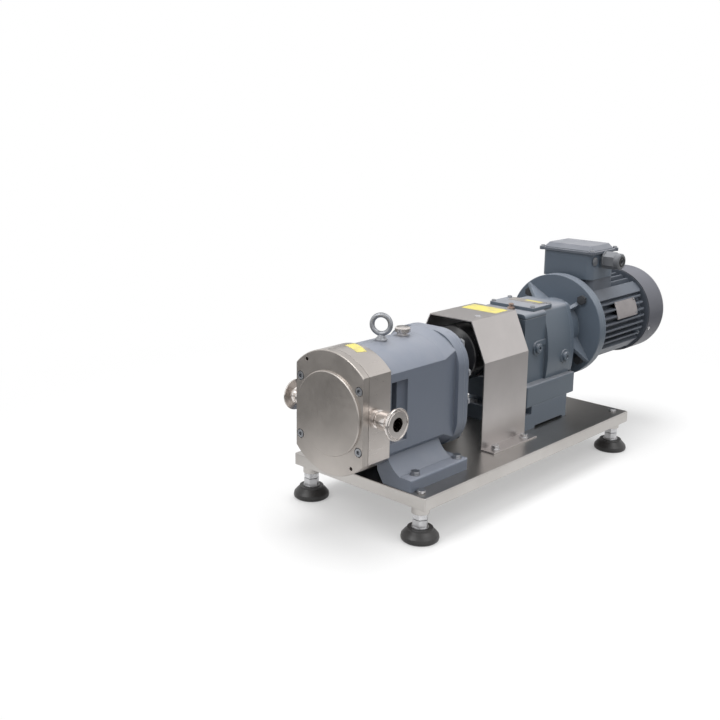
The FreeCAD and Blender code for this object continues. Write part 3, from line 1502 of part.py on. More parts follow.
def fan_cowl():
    """Pressed cowl with radial air slots in its back."""
    front = frame_back
    back = cowl_back
    inside = cowl_radius - cowl_sheet
    r = cowl_rounding
    profile = [
        (front, inside), (front, cowl_radius), (back - r, cowl_radius),
        (back - 0.45 * r, cowl_radius - 0.12 * r), (back - 0.12 * r, cowl_radius - 0.45 * r),
        (back, cowl_radius - r), (back, 0), (back - cowl_sheet, 0),
        (back - cowl_sheet, inside - r), (back - 0.12 * r - cowl_sheet, inside - 0.45 * r),
        (back - 0.45 * r - cowl_sheet, inside - 0.12 * r), (back - r - cowl_sheet, inside),
    ]
    cowl = turned(profile, Vector(0, 0, drive_z))
    slots = []
    for k in range(cowl_slots):
        for start, end in ((18, 38), (46, inside - r - 3)):
            if start < 20 and k % 2:
                continue
            slot = box(start, end, back - cowl_sheet - 1, back + 1, -cowl_slot_width / 2,
                       cowl_slot_width / 2)
            slot.rotate(Vector(0, 0, 0), Vector(0, 1, 0), 360 * k / cowl_slots)
            slot.translate(Vector(0, 0, drive_z))
            slots.append(slot)
    return cowl.cut(slots)


def box_span():
    y0 = motor_front + box_setback
    return y0, y0 + box_length


def upright_rounded(half, y0, y1, z0, z1, corner):
    """Block with rounded upright edges."""
    body = box(-half, half, y0, y1, z0, z1)
    upright = [e for e in body.Edges if abs(e.Vertexes[0].Z - e.Vertexes[1].Z) > 1.0]
    return body.makeFillet(corner, upright)


def gland_place():
    """(y, z) of the cable gland's axis."""
    return box_span()[0] + gland_back, drive_z + box_bottom + gland_rise


def blank_plug_place():
    return box_span()[0] + blank_plug_back, drive_z + box_bottom + blank_plug_rise


def terminal_box():
    y0, y1 = box_span()
    bottom = drive_z + box_bottom
    top = bottom + box_height
    body = upright_rounded(box_half_width, y0, y1, bottom, top, box_corner)
    room = upright_rounded(box_half_width - box_wall, y0 + box_wall, y1 - box_wall, bottom + box_wall,
                           top + 1, box_corner - box_wall)
    y, z = gland_place()
    boss = cross_rod(gland_boss_radius, box_half_width - 1, box_half_width + gland_boss, y, z)
    body = body.fuse(boss)
    plug_y, plug_z = blank_plug_place()
    cuts = [room, cross_rod(gland_bore_radius + 3, 0, box_half_width + gland_boss + 1, y, z),
            cross_rod(blank_plug_radius - 3.5, 0, box_half_width + 10, plug_y, plug_z)]
    body = body.cut(cuts)
    body.translate(Vector(-box_shift, 0, 0))
    return body


def terminal_lid():
    """Lid with a raised field and an ear for a screw at each corner."""
    y0, y1 = box_span()
    base = drive_z + box_bottom + box_height
    half = box_half_width + lid_overhang
    front = y0 - lid_overhang
    back = y1 + lid_overhang
    lid = upright_rounded(half, front, back, base, base + lid_rim, box_corner + lid_overhang - 2)
    field = upright_rounded(half - lid_field_inset, front + lid_field_inset, back - lid_field_inset,
                            base + lid_rim - 1, base + lid_rim + lid_field, box_corner)
    rim = [e for e in field.Edges if min(v.Z for v in e.Vertexes) > base + lid_rim + lid_field - 0.1]
    field = field.makeChamfer(lid_field_chamfer, rim)
    reach = 0.75 * lid_lug_radius
    lugs = [post(lid_lug_radius, base, base + lid_rim + 1, s * (half - reach), y)
            for s in (-1, 1) for y in (front + reach, back - reach)]
    lid = lid.fuse([field] + lugs)
    lid.translate(Vector(-box_shift, 0, 0))
    return lid


def cable_gland():
    """Cable entry with its collar, hexagon and barrel, and a domed blanking plug beside it."""
    y, z = gland_place()
    start = box_half_width + gland_boss
    hex_start = start + gland_collar
    hex_end = hex_start + gland_hex_length
    end = start + gland_length
    body = [(start, 0), (start, gland_collar_radius - 0.8), (start + 0.8, gland_collar_radius),
            (hex_start, gland_collar_radius), (hex_start, gland_flats / 2 - 1),
            (hex_end, gland_flats / 2 - 1), (hex_end, gland_barrel_radius), (end - 2, gland_barrel_radius),
            (end, gland_barrel_radius - 2), (end, 0)]
    nut = hexagon(gland_flats, gland_hex_length, Vector(hex_start, y, z), "x")
    thread = cross_rod(gland_bore_radius + 2.9, start - 8, start + 1, y, z)
    gland = turned(body, Vector(0, y, z), "x").fuse([nut, thread])
    gland = gland.cut(cross_rod(gland_bore_radius, start - 12, end + 1, y, z))
    plug_y, plug_z = blank_plug_place()
    face = box_half_width
    radius = blank_plug_radius
    dome = [(face - 6, 0), (face - 6, radius - 3.6), (face, radius - 3.6), (face, radius),
            (face + 0.3 * blank_plug_height, radius), (face + 0.75 * blank_plug_height, 0.75 * radius),
            (face + blank_plug_height, 0.35 * radius), (face + blank_plug_height, 0)]
    pieces = Part.makeCompound([gland, turned(dome, Vector(0, plug_y, plug_z), "x")])
    pieces.translate(Vector(-box_shift, 0, 0))
    return pieces


def save(name, shape):
    placed = shape.copy()
    placed.translate(Vector(0, -middle, 0))
    placed.exportStep("parts/" + name + ".step")


def build():
    os.makedirs("parts", exist_ok=True)
    save("base_tray", base_tray())
    for place, (x, y) in foot_places().items():
        save("foot_pad_" + place, foot_pad(x, y))
        save("foot_stud_" + place, foot_stud(x, y))
    save("lock_nuts", lock_nuts())
    save("foot_bolts", foot_bolts())
    save("front_cover", front_cover())
    save("cover_screws", cover_screws())
    save("cover_seal", cover_seal())
    save("rotor_case", rotor_case())
    right_port, left_port = both_sides(port_stub())
    save("port_right", right_port)
    save("port_left", left_port)
    for place, height in (("upper", drive_z), ("lower", driven_z)):
        save(place + "_rotor", lobe_rotor(height))
        save(place + "_rotor_nut", rotor_nut(height))
        save(place + "_seal_ring", seal_ring(height))
    save("bearing_housing", bearing_housing())
    save("gear_cover", gear_cover())
    save("gear_cover_bolts", gear_cover_bolts())
    save("pump_bearings", pump_bearings())
    save("drive_shaft", drive_shaft())
    save("driven_shaft", driven_shaft())
    save("upper_timing_gear", upper_timing_gear())
    save("lower_timing_gear", lower_timing_gear())
    save("shaft_oil_seals", shaft_oil_seals())
    save("eye_bolt", eye_bolt())
    save("breather_plug", breather_plug())
    save("pump_coupling_hub", pump_coupling_hub())
    save("gear_coupling_hub", gear_coupling_hub())
    save("coupling_spider", coupling_spider())
    save("coupling_guard", coupling_guard())
    save("guard_bolts", guard_bolts())
    save("riser_block", riser_block())
    save("gear_case", gear_case())
    save("gear_top_cover", gear_top_cover())
    save("gear_case_plugs", gear_case_plugs())
    save("output_shaft", output_shaft())
    save("output_gear", output_gear())
    save("layshaft", layshaft())
    save("layshaft_gear", layshaft_gear())
    save("gear_bearings", gear_bearings())
    save("adapter_flange", adapter_flange())
    save("flange_bolts", flange_bolts())
    save("motor_flange_shield", motor_flange_shield())
    save("motor_frame", motor_frame())
    save("stator_core", stator_core())
    save("motor_rotor", motor_rotor())
    save("rear_end_shield", rear_end_shield())
    save("cooling_fan", cooling_fan())
    save("fan_cowl", fan_cowl())
    save("terminal_box", terminal_box())
    save("terminal_lid", terminal_lid())
    save("cable_gland", cable_gland())


build()
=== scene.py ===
import bpy
import bmesh
from math import atan2, cos, pi, radians, sin
from mathutils import Matrix, Vector


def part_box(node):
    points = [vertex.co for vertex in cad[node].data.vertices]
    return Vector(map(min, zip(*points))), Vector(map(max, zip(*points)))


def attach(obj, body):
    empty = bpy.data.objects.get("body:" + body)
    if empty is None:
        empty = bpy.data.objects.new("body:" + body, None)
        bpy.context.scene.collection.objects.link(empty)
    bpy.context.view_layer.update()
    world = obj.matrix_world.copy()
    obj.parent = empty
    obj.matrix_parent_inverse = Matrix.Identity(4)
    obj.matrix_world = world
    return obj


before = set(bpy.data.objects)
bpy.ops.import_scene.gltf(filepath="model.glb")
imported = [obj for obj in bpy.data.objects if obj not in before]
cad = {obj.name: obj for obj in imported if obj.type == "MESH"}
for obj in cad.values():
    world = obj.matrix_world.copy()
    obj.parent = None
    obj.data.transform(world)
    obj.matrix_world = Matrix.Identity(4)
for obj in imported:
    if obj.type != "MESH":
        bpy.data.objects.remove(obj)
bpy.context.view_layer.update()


# Studio
# A pale floor and a white surround. The lamps are three soft boxes and the sky gives the fill.
# A dark ring around the pump and a low dark card behind it, which only mirrors see, give the
# ground steel something to shade off against.

def new_material(name):
    """A node material with its Principled shader, ready for its own nodes."""
    material = bpy.data.materials.new(name)
    material.use_nodes = True
    tree = material.node_tree
    return material, tree, tree.nodes["Principled BSDF"]


def add(tree, kind, **values):
    """Adds a node and sets its properties and, for names with a socket, its inputs."""
    node = tree.nodes.new(kind)
    for key, value in values.items():
        if key in node.inputs:
            node.inputs[key].default_value = value
        else:
            setattr(node, key, value)
    return node


def spread(tree, value, low, high, start=0.0, end=1.0, **more):
    """Maps a varying value from start..end to low..high and returns the output."""
    node = add(tree, "ShaderNodeMapRange", **more)
    limits = {"From Min": start, "From Max": end, "To Min": low, "To Max": high}
    for socket, number in limits.items():
        node.inputs[socket].default_value = number
    tree.links.new(value, node.inputs["Value"])
    return node.outputs["Result"]


def seen_rays(tree):
    """1 for what is seen straight, in a mirror or through glass, and 0 for the light itself."""
    rays = add(tree, "ShaderNodeLightPath")
    straight = add(tree, "ShaderNodeMath", operation="MAXIMUM")
    either = add(tree, "ShaderNodeMath", operation="MAXIMUM")
    tree.links.new(rays.outputs["Is Camera Ray"], straight.inputs[0])
    tree.links.new(rays.outputs["Is Glossy Ray"], straight.inputs[1])
    tree.links.new(straight.outputs["Value"], either.inputs[0])
    tree.links.new(rays.outputs["Is Transmission Ray"], either.inputs[1])
    return either.outputs["Value"]


bpy.ops.object.select_all(action="DESELECT")
bpy.ops.mesh.primitive_plane_add(size=14.0)
floor = bpy.context.object
floor.name = "studio_floor"
bpy.ops.object.mode_set(mode="EDIT")
bpy.ops.mesh.subdivide(number_cuts=6)
bpy.ops.object.mode_set(mode="OBJECT")

floor_paint, tree, shader = new_material("studio_floor_paint")
where = add(tree, "ShaderNodeTexCoord")
noise = add(tree, "ShaderNodeTexNoise", Scale=3.0, Detail=4.0)
tree.links.new(where.outputs["Object"], noise.inputs["Vector"])
shader.inputs["Roughness"].default_value = 0.75
paler = add(tree, "ShaderNodeMath", operation="MULTIPLY_ADD")
paler.inputs[1].default_value = 0.18
lift = add(tree, "ShaderNodeEmission", Strength=0.36)
brighter = add(tree, "ShaderNodeAddShader")
near = add(tree, "ShaderNodeMixShader")
paper = add(tree, "ShaderNodeEmission", Strength=1.0)
distance = add(tree, "ShaderNodeVectorMath", operation="LENGTH")
only_seen = add(tree, "ShaderNodeMath", operation="MULTIPLY")
far_white = add(tree, "ShaderNodeMixShader")
seen = seen_rays(tree)
tree.links.new(seen, paler.inputs[0])
tree.links.new(spread(tree, noise.outputs["Fac"], 0.29, 0.31), paler.inputs[2])
tree.links.new(paler.outputs["Value"], shader.inputs["Base Color"])
tree.links.new(shader.outputs["BSDF"], brighter.inputs[0])
tree.links.new(lift.outputs["Emission"], brighter.inputs[1])
tree.links.new(seen, near.inputs["Fac"])
tree.links.new(shader.outputs["BSDF"], near.inputs[1])
tree.links.new(brighter.outputs["Shader"], near.inputs[2])
tree.links.new(where.outputs["Object"], distance.inputs[0])
tree.links.new(spread(tree, distance.outputs["Value"], 0.0, 1.0, 0.45, 1.25,
                      interpolation_type="SMOOTHSTEP"), only_seen.inputs[0])
tree.links.new(seen, only_seen.inputs[1])
tree.links.new(only_seen.outputs["Value"], far_white.inputs["Fac"])
tree.links.new(near.outputs["Shader"], far_white.inputs[1])
tree.links.new(paper.outputs["Emission"], far_white.inputs[2])
tree.links.new(far_white.outputs["Shader"], tree.nodes["Material Output"].inputs["Surface"])
floor.data.materials.append(floor_paint)

world = bpy.data.worlds.new("studio_surround")
bpy.context.scene.world = world
world.use_nodes = True
tree = world.node_tree
sky = tree.nodes["Background"]
sky.inputs["Strength"].default_value = 1.0
towards = add(tree, "ShaderNodeTexCoord")
lean = add(tree, "ShaderNodeVectorMath", operation="DOT_PRODUCT")
lean.inputs[1].default_value = (0.20, 0.0, 0.98)
white = add(tree, "ShaderNodeBackground")
white.inputs["Color"].default_value = (1.0, 1.0, 1.0, 1.0)
white.inputs["Strength"].default_value = 1.0
choose = add(tree, "ShaderNodeMixShader")
tree.links.new(towards.outputs["Generated"], lean.inputs[0])
tree.links.new(spread(tree, lean.outputs["Value"], 0.10, 0.90, 0.0, 0.9,
                      interpolation_type="SMOOTHSTEP"), sky.inputs["Color"])
tree.links.new(seen_rays(tree), choose.inputs["Fac"])
tree.links.new(sky.outputs["Background"], choose.inputs[1])
tree.links.new(white.outputs["Background"], choose.inputs[2])
tree.links.new(choose.outputs["Shader"], tree.nodes["World Output"].inputs["Surface"])

ring_half_width, ring_half_length, ring_height = 0.34, 0.95, 0.002
ring_paint, tree, shader = new_material("studio_ring_paint")
where = add(tree, "ShaderNodeTexCoord")
shrink = add(tree, "ShaderNodeVectorMath", operation="MULTIPLY")
shrink.inputs[1].default_value = (1 / ring_half_width, 1 / ring_half_length, 0.0)
outward = add(tree, "ShaderNodeVectorMath", operation="LENGTH")
tree.links.new(where.outputs["Object"], shrink.inputs[0])
tree.links.new(shrink.outputs["Vector"], outward.inputs[0])
tree.links.new(spread(tree, outward.outputs["Value"], 0.50, 0.12, 1.0, 1.6,
                      interpolation_type="SMOOTHSTEP"), shader.inputs["Base Color"])
shader.inputs["Roughness"].default_value = 0.9

card_paint, tree, shader = new_material("studio_card_paint")
noise = add(tree, "ShaderNodeTexNoise", Scale=4.0)
tree.links.new(spread(tree, noise.outputs["Fac"], 0.32, 0.38), shader.inputs["Base Color"])
shader.inputs["Roughness"].default_value = 0.9

bpy.ops.object.select_all(action="DESELECT")
bpy.ops.mesh.primitive_circle_add(vertices=64, radius=1.0, fill_type="NOTHING")
ring = bpy.context.object
ring.name = "studio_dark_ring"
bpy.ops.object.mode_set(mode="EDIT")
bpy.ops.transform.resize(value=(ring_half_width, ring_half_length, 1.0))
bpy.ops.transform.translate(value=(0, 0, ring_height))
bpy.ops.mesh.extrude_edges_move()
bpy.ops.transform.resize(value=(5.2, 2.4, 1.0), center_override=(0, 0, ring_height))
bpy.ops.object.mode_set(mode="OBJECT")

bpy.ops.object.select_all(action="DESELECT")
bpy.ops.mesh.primitive_plane_add(size=1.0)
card = bpy.context.object
card.name = "studio_rear_card"
bpy.ops.object.mode_set(mode="EDIT")
bpy.ops.transform.resize(value=(1.2, 0.80, 1.0))
bpy.ops.transform.rotate(value=radians(90), orient_axis="X", center_override=(0, 0, 0))
bpy.ops.transform.rotate(value=radians(-44), orient_axis="Z", center_override=(0, 0, 0))
bpy.ops.transform.translate(value=(-0.80, 1.15, 0.41))
bpy.ops.object.mode_set(mode="OBJECT")
for mirrored, paint in ((ring, ring_paint), (card, card_paint)):
    mirrored.visible_camera = False
    mirrored.visible_diffuse = False
    mirrored.visible_shadow = False
    mirrored.data.materials.append(paint)

for name, spot, size, watts in (
        ("key_softbox", (1.5, 0.1, 2.4), (1.4, 1.4), 15.5),
        ("front_softbox", (-0.4, -2.2, 2.0), (1.4, 1.0), 18.0),
        ("top_softbox", (-0.35, 0.28, 2.45), (1.2, 1.3), 40.0)):
    bpy.ops.object.light_add(type="AREA", location=spot)
    lamp = bpy.context.object
    lamp.name = name
    lamp.data.shape = "RECTANGLE"
    lamp.data.size, lamp.data.size_y = size
    lamp.data.energy = watts
    lamp.visible_glossy = name != "top_softbox"
    lamp.rotation_mode = "QUATERNION"
    lamp.rotation_quaternion = (Vector((0, 0, 0.2)) - Vector(spot)).to_track_quat("-Z", "Y")

bpy.ops.object.camera_add(location=(1.008639, -1.476452, 0.657364))
camera = bpy.context.object
yaw, pitch, roll = 0.7662019, 0.2107676, 0.0100378
look = Vector((-sin(yaw) * cos(pitch), cos(yaw) * cos(pitch), -sin(pitch)))
right = Vector((cos(yaw), sin(yaw), 0))
up = right.cross(look)
tilted_right = right * cos(roll) + up * sin(roll)
tilted_up = up * cos(roll) - right * sin(roll)
camera.rotation_mode = "QUATERNION"
camera.rotation_quaternion = Matrix((tilted_right, tilted_up, -look)).transposed().to_quaternion()
camera.data.sensor_width = 36.0
camera.data.lens = 49.533
camera.data.shift_x = 0.0261
camera.data.shift_y = -0.0674
bpy.context.scene.camera = camera
bpy.context.scene.view_settings.view_transform = "Standard"


# Base tray
# A folded tray of stainless sheet, about three millimetres thick, with its corners bent down and
# welded. The sheet keeps the fine lengthwise grain of its satin finish.

def group_sockets(group, inputs, outputs):
    """Names the inputs and outputs of a node group."""
    for name, kind, value in inputs:
        socket = group.interface.new_socket(name, in_out="INPUT", socket_type=kind)
        if value is not None:
            socket.default_value = value
    for name, kind in outputs:
        group.interface.new_socket(name, in_out="OUTPUT", socket_type=kind)
    return group.nodes.new("NodeGroupInput"), group.nodes.new("NodeGroupOutput")


def place_group(tree, group, **values):
    """Adds a node group and sets its inputs."""
    node = tree.nodes.new("ShaderNodeGroup")
    node.node_tree = group
    for key, value in values.items():
        node.inputs[key.replace("_", " ")].default_value = value
    return node


def tones(tree, factor, first, second):
    """A colour that a varying factor carries from the first to the second."""
    mix = add(tree, "ShaderNodeMix", data_type="RGBA")
    for socket, colour in ((mix.inputs[6], first), (mix.inputs[7], second)):
        if isinstance(colour, tuple):
            socket.default_value = (*colour, 1.0)
        else:
            tree.links.new(colour, socket)
    tree.links.new(factor, mix.inputs["Factor"])
    return mix.outputs[2]


# Sharp edges: a mask that is 1 on sharp corners, broken up by noise, and a normal that rounds them
# off.
# Painted castings lighten their edges by the mask, for scuffed paint and as a painted edge
# highlight.
edge_wear_and_highlight = bpy.data.node_groups.new("edge_wear_and_highlight", "ShaderNodeTree")
g_in, g_out = group_sockets(
    edge_wear_and_highlight, (("Radius", "NodeSocketFloat", 0.0012), ("Breakup", "NodeSocketFloat", 120.0)),
    (("Mask", "NodeSocketFloat"), ("Rounded", "NodeSocketVector")))
bevel = add(edge_wear_and_highlight, "ShaderNodeBevel", samples=4)
flat = add(edge_wear_and_highlight, "ShaderNodeNewGeometry")
turn = add(edge_wear_and_highlight, "ShaderNodeVectorMath", operation="DOT_PRODUCT")
drop = add(edge_wear_and_highlight, "ShaderNodeMath", operation="SUBTRACT")
drop.inputs[0].default_value = 1.0
where = add(edge_wear_and_highlight, "ShaderNodeTexCoord")
chips = add(edge_wear_and_highlight, "ShaderNodeTexNoise", Detail=5.0, Roughness=0.65)
both = add(edge_wear_and_highlight, "ShaderNodeMath", operation="MULTIPLY")
edge_wear_and_highlight.links.new(g_in.outputs["Radius"], bevel.inputs["Radius"])
edge_wear_and_highlight.links.new(bevel.outputs["Normal"], turn.inputs[0])
edge_wear_and_highlight.links.new(flat.outputs["Normal"], turn.inputs[1])
edge_wear_and_highlight.links.new(turn.outputs["Value"], drop.inputs[1])
edge_wear_and_highlight.links.new(where.outputs["Object"], chips.inputs["Vector"])
edge_wear_and_highlight.links.new(g_in.outputs["Breakup"], chips.inputs["Scale"])
edge_wear_and_highlight.links.new(drop.outputs["Value"], both.inputs[0])
edge_wear_and_highlight.links.new(chips.outputs["Fac"], both.inputs[1])
edge_wear_and_highlight.links.new(spread(edge_wear_and_highlight, both.outputs["Value"], 0.0, 1.0, 0.03, 0.10),
                    g_out.inputs["Mask"])
edge_wear_and_highlight.links.new(bevel.outputs["Normal"], g_out.inputs["Rounded"])

# Fine parallel scratches of a belt-ground face. Stretch gives the grain's direction: small along
# it, large across it.
sheet_grain = bpy.data.node_groups.new("sheet_grain", "ShaderNodeTree")
g_in, g_out = group_sockets(
    sheet_grain, (("Stretch", "NodeSocketVector", (20.0, 900.0, 900.0)),
                  ("Clouds", "NodeSocketFloat", 9.0)),
    (("Lines", "NodeSocketFloat"), ("Patches", "NodeSocketFloat")))
where = add(sheet_grain, "ShaderNodeTexCoord")
stretch = add(sheet_grain, "ShaderNodeVectorMath", operation="MULTIPLY")
lines = add(sheet_grain, "ShaderNodeTexNoise", Scale=1.0, Detail=3.0, Roughness=0.6)
patches = add(sheet_grain, "ShaderNodeTexNoise", Detail=4.0, Roughness=0.55)
sheet_grain.links.new(where.outputs["Object"], stretch.inputs[0])
sheet_grain.links.new(g_in.outputs["Stretch"], stretch.inputs[1])
sheet_grain.links.new(stretch.outputs["Vector"], lines.inputs["Vector"])
sheet_grain.links.new(where.outputs["Object"], patches.inputs["Vector"])
sheet_grain.links.new(g_in.outputs["Clouds"], patches.inputs["Scale"])
sheet_grain.links.new(lines.outputs["Fac"], g_out.inputs["Lines"])
sheet_grain.links.new(patches.outputs["Fac"], g_out.inputs["Patches"])


def satin_steel(name, colour, dark, roughness, stretch, clouds=9.0, bump=0.00002, radius=0.0008):
    """Ground stainless steel: its grain varies gloss and relief, its edges are softly rounded."""
    material, tree, shader = new_material(name)
    grain = place_group(tree, sheet_grain, Stretch=stretch, Clouds=clouds)
    edge = place_group(tree, edge_wear_and_highlight, Radius=radius)
    relief = add(tree, "ShaderNodeBump", Strength=0.5, Distance=bump)
    cloudy = spread(tree, grain.outputs["Patches"], 0.0, 1.0, 0.35, 0.65)
    tree.links.new(tones(tree, cloudy, dark, colour), shader.inputs["Base Color"])
    tree.links.new(spread(tree, grain.outputs["Lines"], roughness - 0.06, roughness + 0.10),
                   shader.inputs["Roughness"])
    tree.links.new(grain.outputs["Lines"], relief.inputs["Height"])
    tree.links.new(edge.outputs["Rounded"], relief.inputs["Normal"])
    tree.links.new(relief.outputs["Normal"], shader.inputs["Normal"])
    shader.inputs["Metallic"].default_value = 1.0
    return material


def clothe(material, *names):
    """Gives CAD nodes their finish."""
    for name in names:
        cad[name].data.materials.clear()
        cad[name].data.materials.append(material)


tray_steel = satin_steel("tray_satin_sheet", (0.52, 0.50, 0.48), (0.45, 0.43, 0.41), 0.30,
                         (900.0, 14.0, 900.0))
clothe(tray_steel, "base_tray")


# Levelling feet
# Each foot is a moulded black pad with a zinc-plated threaded stud that turns in it. A nut under
# the tray locks the stud.

places = ("front_right", "front_left", "rear_right", "rear_left")


def moulded(name, colour, roughness, scale=500.0, depth=0.00006):
    """Matt moulded rubber or plastic with a fine eroded skin, dusty in patches."""
    material, tree, shader = new_material(name)
    where = add(tree, "ShaderNodeTexCoord")
    skin = add(tree, "ShaderNodeTexNoise", Scale=scale, Detail=3.0)
    cloud = add(tree, "ShaderNodeTexNoise", Scale=22.0, Detail=5.0)
    edge = place_group(tree, edge_wear_and_highlight, Radius=0.0006)
    relief = add(tree, "ShaderNodeBump", Strength=0.6, Distance=depth)
    for texture in (skin, cloud):
        tree.links.new(where.outputs["Object"], texture.inputs["Vector"])
    dusty = spread(tree, cloud.outputs["Fac"], 0.0, 1.0, 0.45, 0.8)
    dust = tuple(1.9 * c + 0.012 for c in colour)
    tree.links.new(tones(tree, dusty, colour, dust), shader.inputs["Base Color"])
    tree.links.new(spread(tree, cloud.outputs["Fac"], roughness - 0.1, roughness + 0.1),
                   shader.inputs["Roughness"])
    tree.links.new(skin.outputs["Fac"], relief.inputs["Height"])
    tree.links.new(edge.outputs["Rounded"], relief.inputs["Normal"])
    tree.links.new(relief.outputs["Normal"], shader.inputs["Normal"])
    return material


def threaded(material, pitch, low, high):
    """Cuts an upright screw thread, as relief, into a finish between two heights."""
    tree = material.node_tree
    shader = tree.nodes["Principled BSDF"]
    where = add(tree, "ShaderNodeTexCoord")
    apart = add(tree, "ShaderNodeSeparateXYZ")
    ridge = add(tree, "ShaderNodeMath", operation="PINGPONG")
    ridge.inputs[1].default_value = pitch / 2
    above = add(tree, "ShaderNodeMath", operation="GREATER_THAN")
    above.inputs[1].default_value = low
    below = add(tree, "ShaderNodeMath", operation="LESS_THAN")
    below.inputs[1].default_value = high
    inside = add(tree, "ShaderNodeMath", operation="MULTIPLY")
    height = add(tree, "ShaderNodeMath", operation="MULTIPLY")
    cut = add(tree, "ShaderNodeBump", Strength=1.0, Distance=1.2)
    smooth = shader.inputs["Normal"].links[0].from_socket
    tree.links.new(where.outputs["Object"], apart.inputs[0])
    tree.links.new(apart.outputs["Z"], ridge.inputs[0])
    tree.links.new(apart.outputs["Z"], above.inputs[0])
    tree.links.new(apart.outputs["Z"], below.inputs[0])
    tree.links.new(above.outputs["Value"], inside.inputs[0])
    tree.links.new(below.outputs["Value"], inside.inputs[1])
    tree.links.new(inside.outputs["Value"], height.inputs[0])
    tree.links.new(ridge.outputs["Value"], height.inputs[1])
    tree.links.new(height.outputs["Value"], cut.inputs["Height"])
    tree.links.new(smooth, cut.inputs["Normal"])
    tree.links.new(cut.outputs["Normal"], shader.inputs["Normal"])


pad_rubber = moulded("pad_black_rubber", (0.022, 0.021, 0.021), 0.40)
clothe(pad_rubber, *["foot_pad_" + p for p in places])

plated = {"stretch": (160.0, 160.0, 160.0), "clouds": 60.0, "bump": 0.00004, "radius": 0.0007}
zinc = satin_steel("bright_zinc", (0.66, 0.66, 0.67), (0.50, 0.50, 0.51), 0.26, **plated)
stud_zinc = satin_steel("stud_zinc", (0.60, 0.60, 0.61), (0.44, 0.44, 0.45), 0.28, **plated)
threaded(stud_zinc, pitch=0.002, low=0.0345, high=0.0795)
clothe(stud_zinc, *["foot_stud_" + p for p in places])
clothe(zinc, "lock_nuts")

# The studio floor keeps below the pad that is screwed out furthest.
for place in places:
    below_pad = floor.constraints.new("FLOOR")
    below_pad.target = cad["foot_pad_" + place]
    below_pad.floor_location = "FLOOR_NEGATIVE_Z"


# Pump head
# The rotor case and its front cover are turned from stainless castings and ground flat on both
# sides. Four cap screws hold the cover, and a blank yellow tag is stuck on top of the case.

def begin(adder, name, **values):
    """Adds a primitive at the origin with nothing else selected, and opens it for shaping."""
    bpy.ops.object.select_all(action="DESELECT")
    adder(**values)
    piece = bpy.context.object
    piece.name = name
    bpy.ops.object.mode_set(mode="EDIT")
    bpy.ops.mesh.select_all(action="SELECT")
    return piece


def pick(piece, kind, accepts):
    """Selects only the corners, edges or faces of the open piece that accepts() takes."""
    bpy.ops.mesh.select_mode(type=kind)
    bpy.ops.mesh.select_all(action="DESELECT")
    shape = bmesh.from_edit_mesh(piece.data)
    for item in {"VERT": shape.verts, "EDGE": shape.edges, "FACE": shape.faces}[kind]:
        if accepts(item):
            item.select_set(True)
    shape.select_flush_mode()
    bmesh.update_edit_mesh(piece.data)


def close(piece, material, sharp=32.0, sheet=False):
    """Ends the shaping: faces outward, modifiers applied, smooth shading and the finish."""
    bpy.ops.mesh.select_mode(type="VERT")
    bpy.ops.mesh.select_all(action="SELECT")
    bpy.ops.mesh.remove_doubles(threshold=0.000005)
    if not sheet:
        bpy.ops.mesh.normals_make_consistent(inside=False)
    bpy.ops.object.mode_set(mode="OBJECT")
    for name in [m.name for m in piece.modifiers]:
        bpy.ops.object.modifier_apply(modifier=name)
    bpy.ops.object.shade_smooth_by_angle(angle=radians(sharp))
    piece.data.materials.append(material)


def rounded_sheet(name, wide, deep, corner, cuts):
    """An open flat sheet around the origin with rounded corners."""
    sheet = begin(bpy.ops.mesh.primitive_grid_add, name, x_subdivisions=cuts[0],
                  y_subdivisions=cuts[1], size=1.0)
    bpy.ops.transform.resize(value=(wide, deep, 1.0))
    pick(sheet, "VERT", lambda v: abs(v.co.x) > 0.499 * wide and abs(v.co.y) > 0.499 * deep)
    bpy.ops.mesh.bevel(offset=corner, affect="VERTICES", segments=3)
    bpy.ops.mesh.select_all(action="SELECT")
    return sheet


def thicken(sheet, name, thickness):
    """Gives an open sheet its thickness, outwards."""
    wall = sheet.modifiers.new(name, "SOLIDIFY")
    wall.thickness = thickness
    wall.offset = 1.0


head_steel = satin_steel("head_satin_steel", (0.58, 0.54, 0.51), (0.50, 0.465, 0.44), 0.28,
                         (700.0, 30.0, 700.0))
clothe(head_steel, "rotor_case")
cover_steel = satin_steel("cover_satin_steel", (0.50, 0.465, 0.435), (0.42, 0.39, 0.365), 0.30,
                          (120.0, 700.0, 120.0), clouds=14.0)
clothe(cover_steel, "front_cover")
turned_steel = satin_steel("turned_steel", (0.74, 0.70, 0.67), (0.64, 0.60, 0.575), 0.16,
                           (1200.0, 60.0, 60.0), bump=0.00001, radius=0.0005)
clothe(turned_steel, "port_right", "port_left", "upper_rotor", "lower_rotor", "upper_rotor_nut",
       "lower_rotor_nut")

# Yellow vinyl: brownish dirt in patches and a slight orange peel.
tag_film, tree, shader = new_material("yellow_tag_film")
where = add(tree, "ShaderNodeTexCoord")
dirt = add(tree, "ShaderNodeTexNoise", Scale=90.0, Detail=5.0, Roughness=0.6)
peel = add(tree, "ShaderNodeTexNoise", Scale=420.0, Detail=2.0)
relief = add(tree, "ShaderNodeBump", Strength=0.4, Distance=0.00005)
tree.links.new(where.outputs["Object"], dirt.inputs["Vector"])
tree.links.new(where.outputs["Object"], peel.inputs["Vector"])
stained = spread(tree, dirt.outputs["Fac"], 0.0, 1.0, 0.42, 0.74)
tree.links.new(tones(tree, stained, (0.66, 0.58, 0.13), (0.46, 0.40, 0.20)),
               shader.inputs["Base Color"])
tree.links.new(spread(tree, dirt.outputs["Fac"], 0.30, 0.55), shader.inputs["Roughness"])
tree.links.new(peel.outputs["Fac"], relief.inputs["Height"])
tree.links.new(relief.outputs["Normal"], shader.inputs["Normal"])

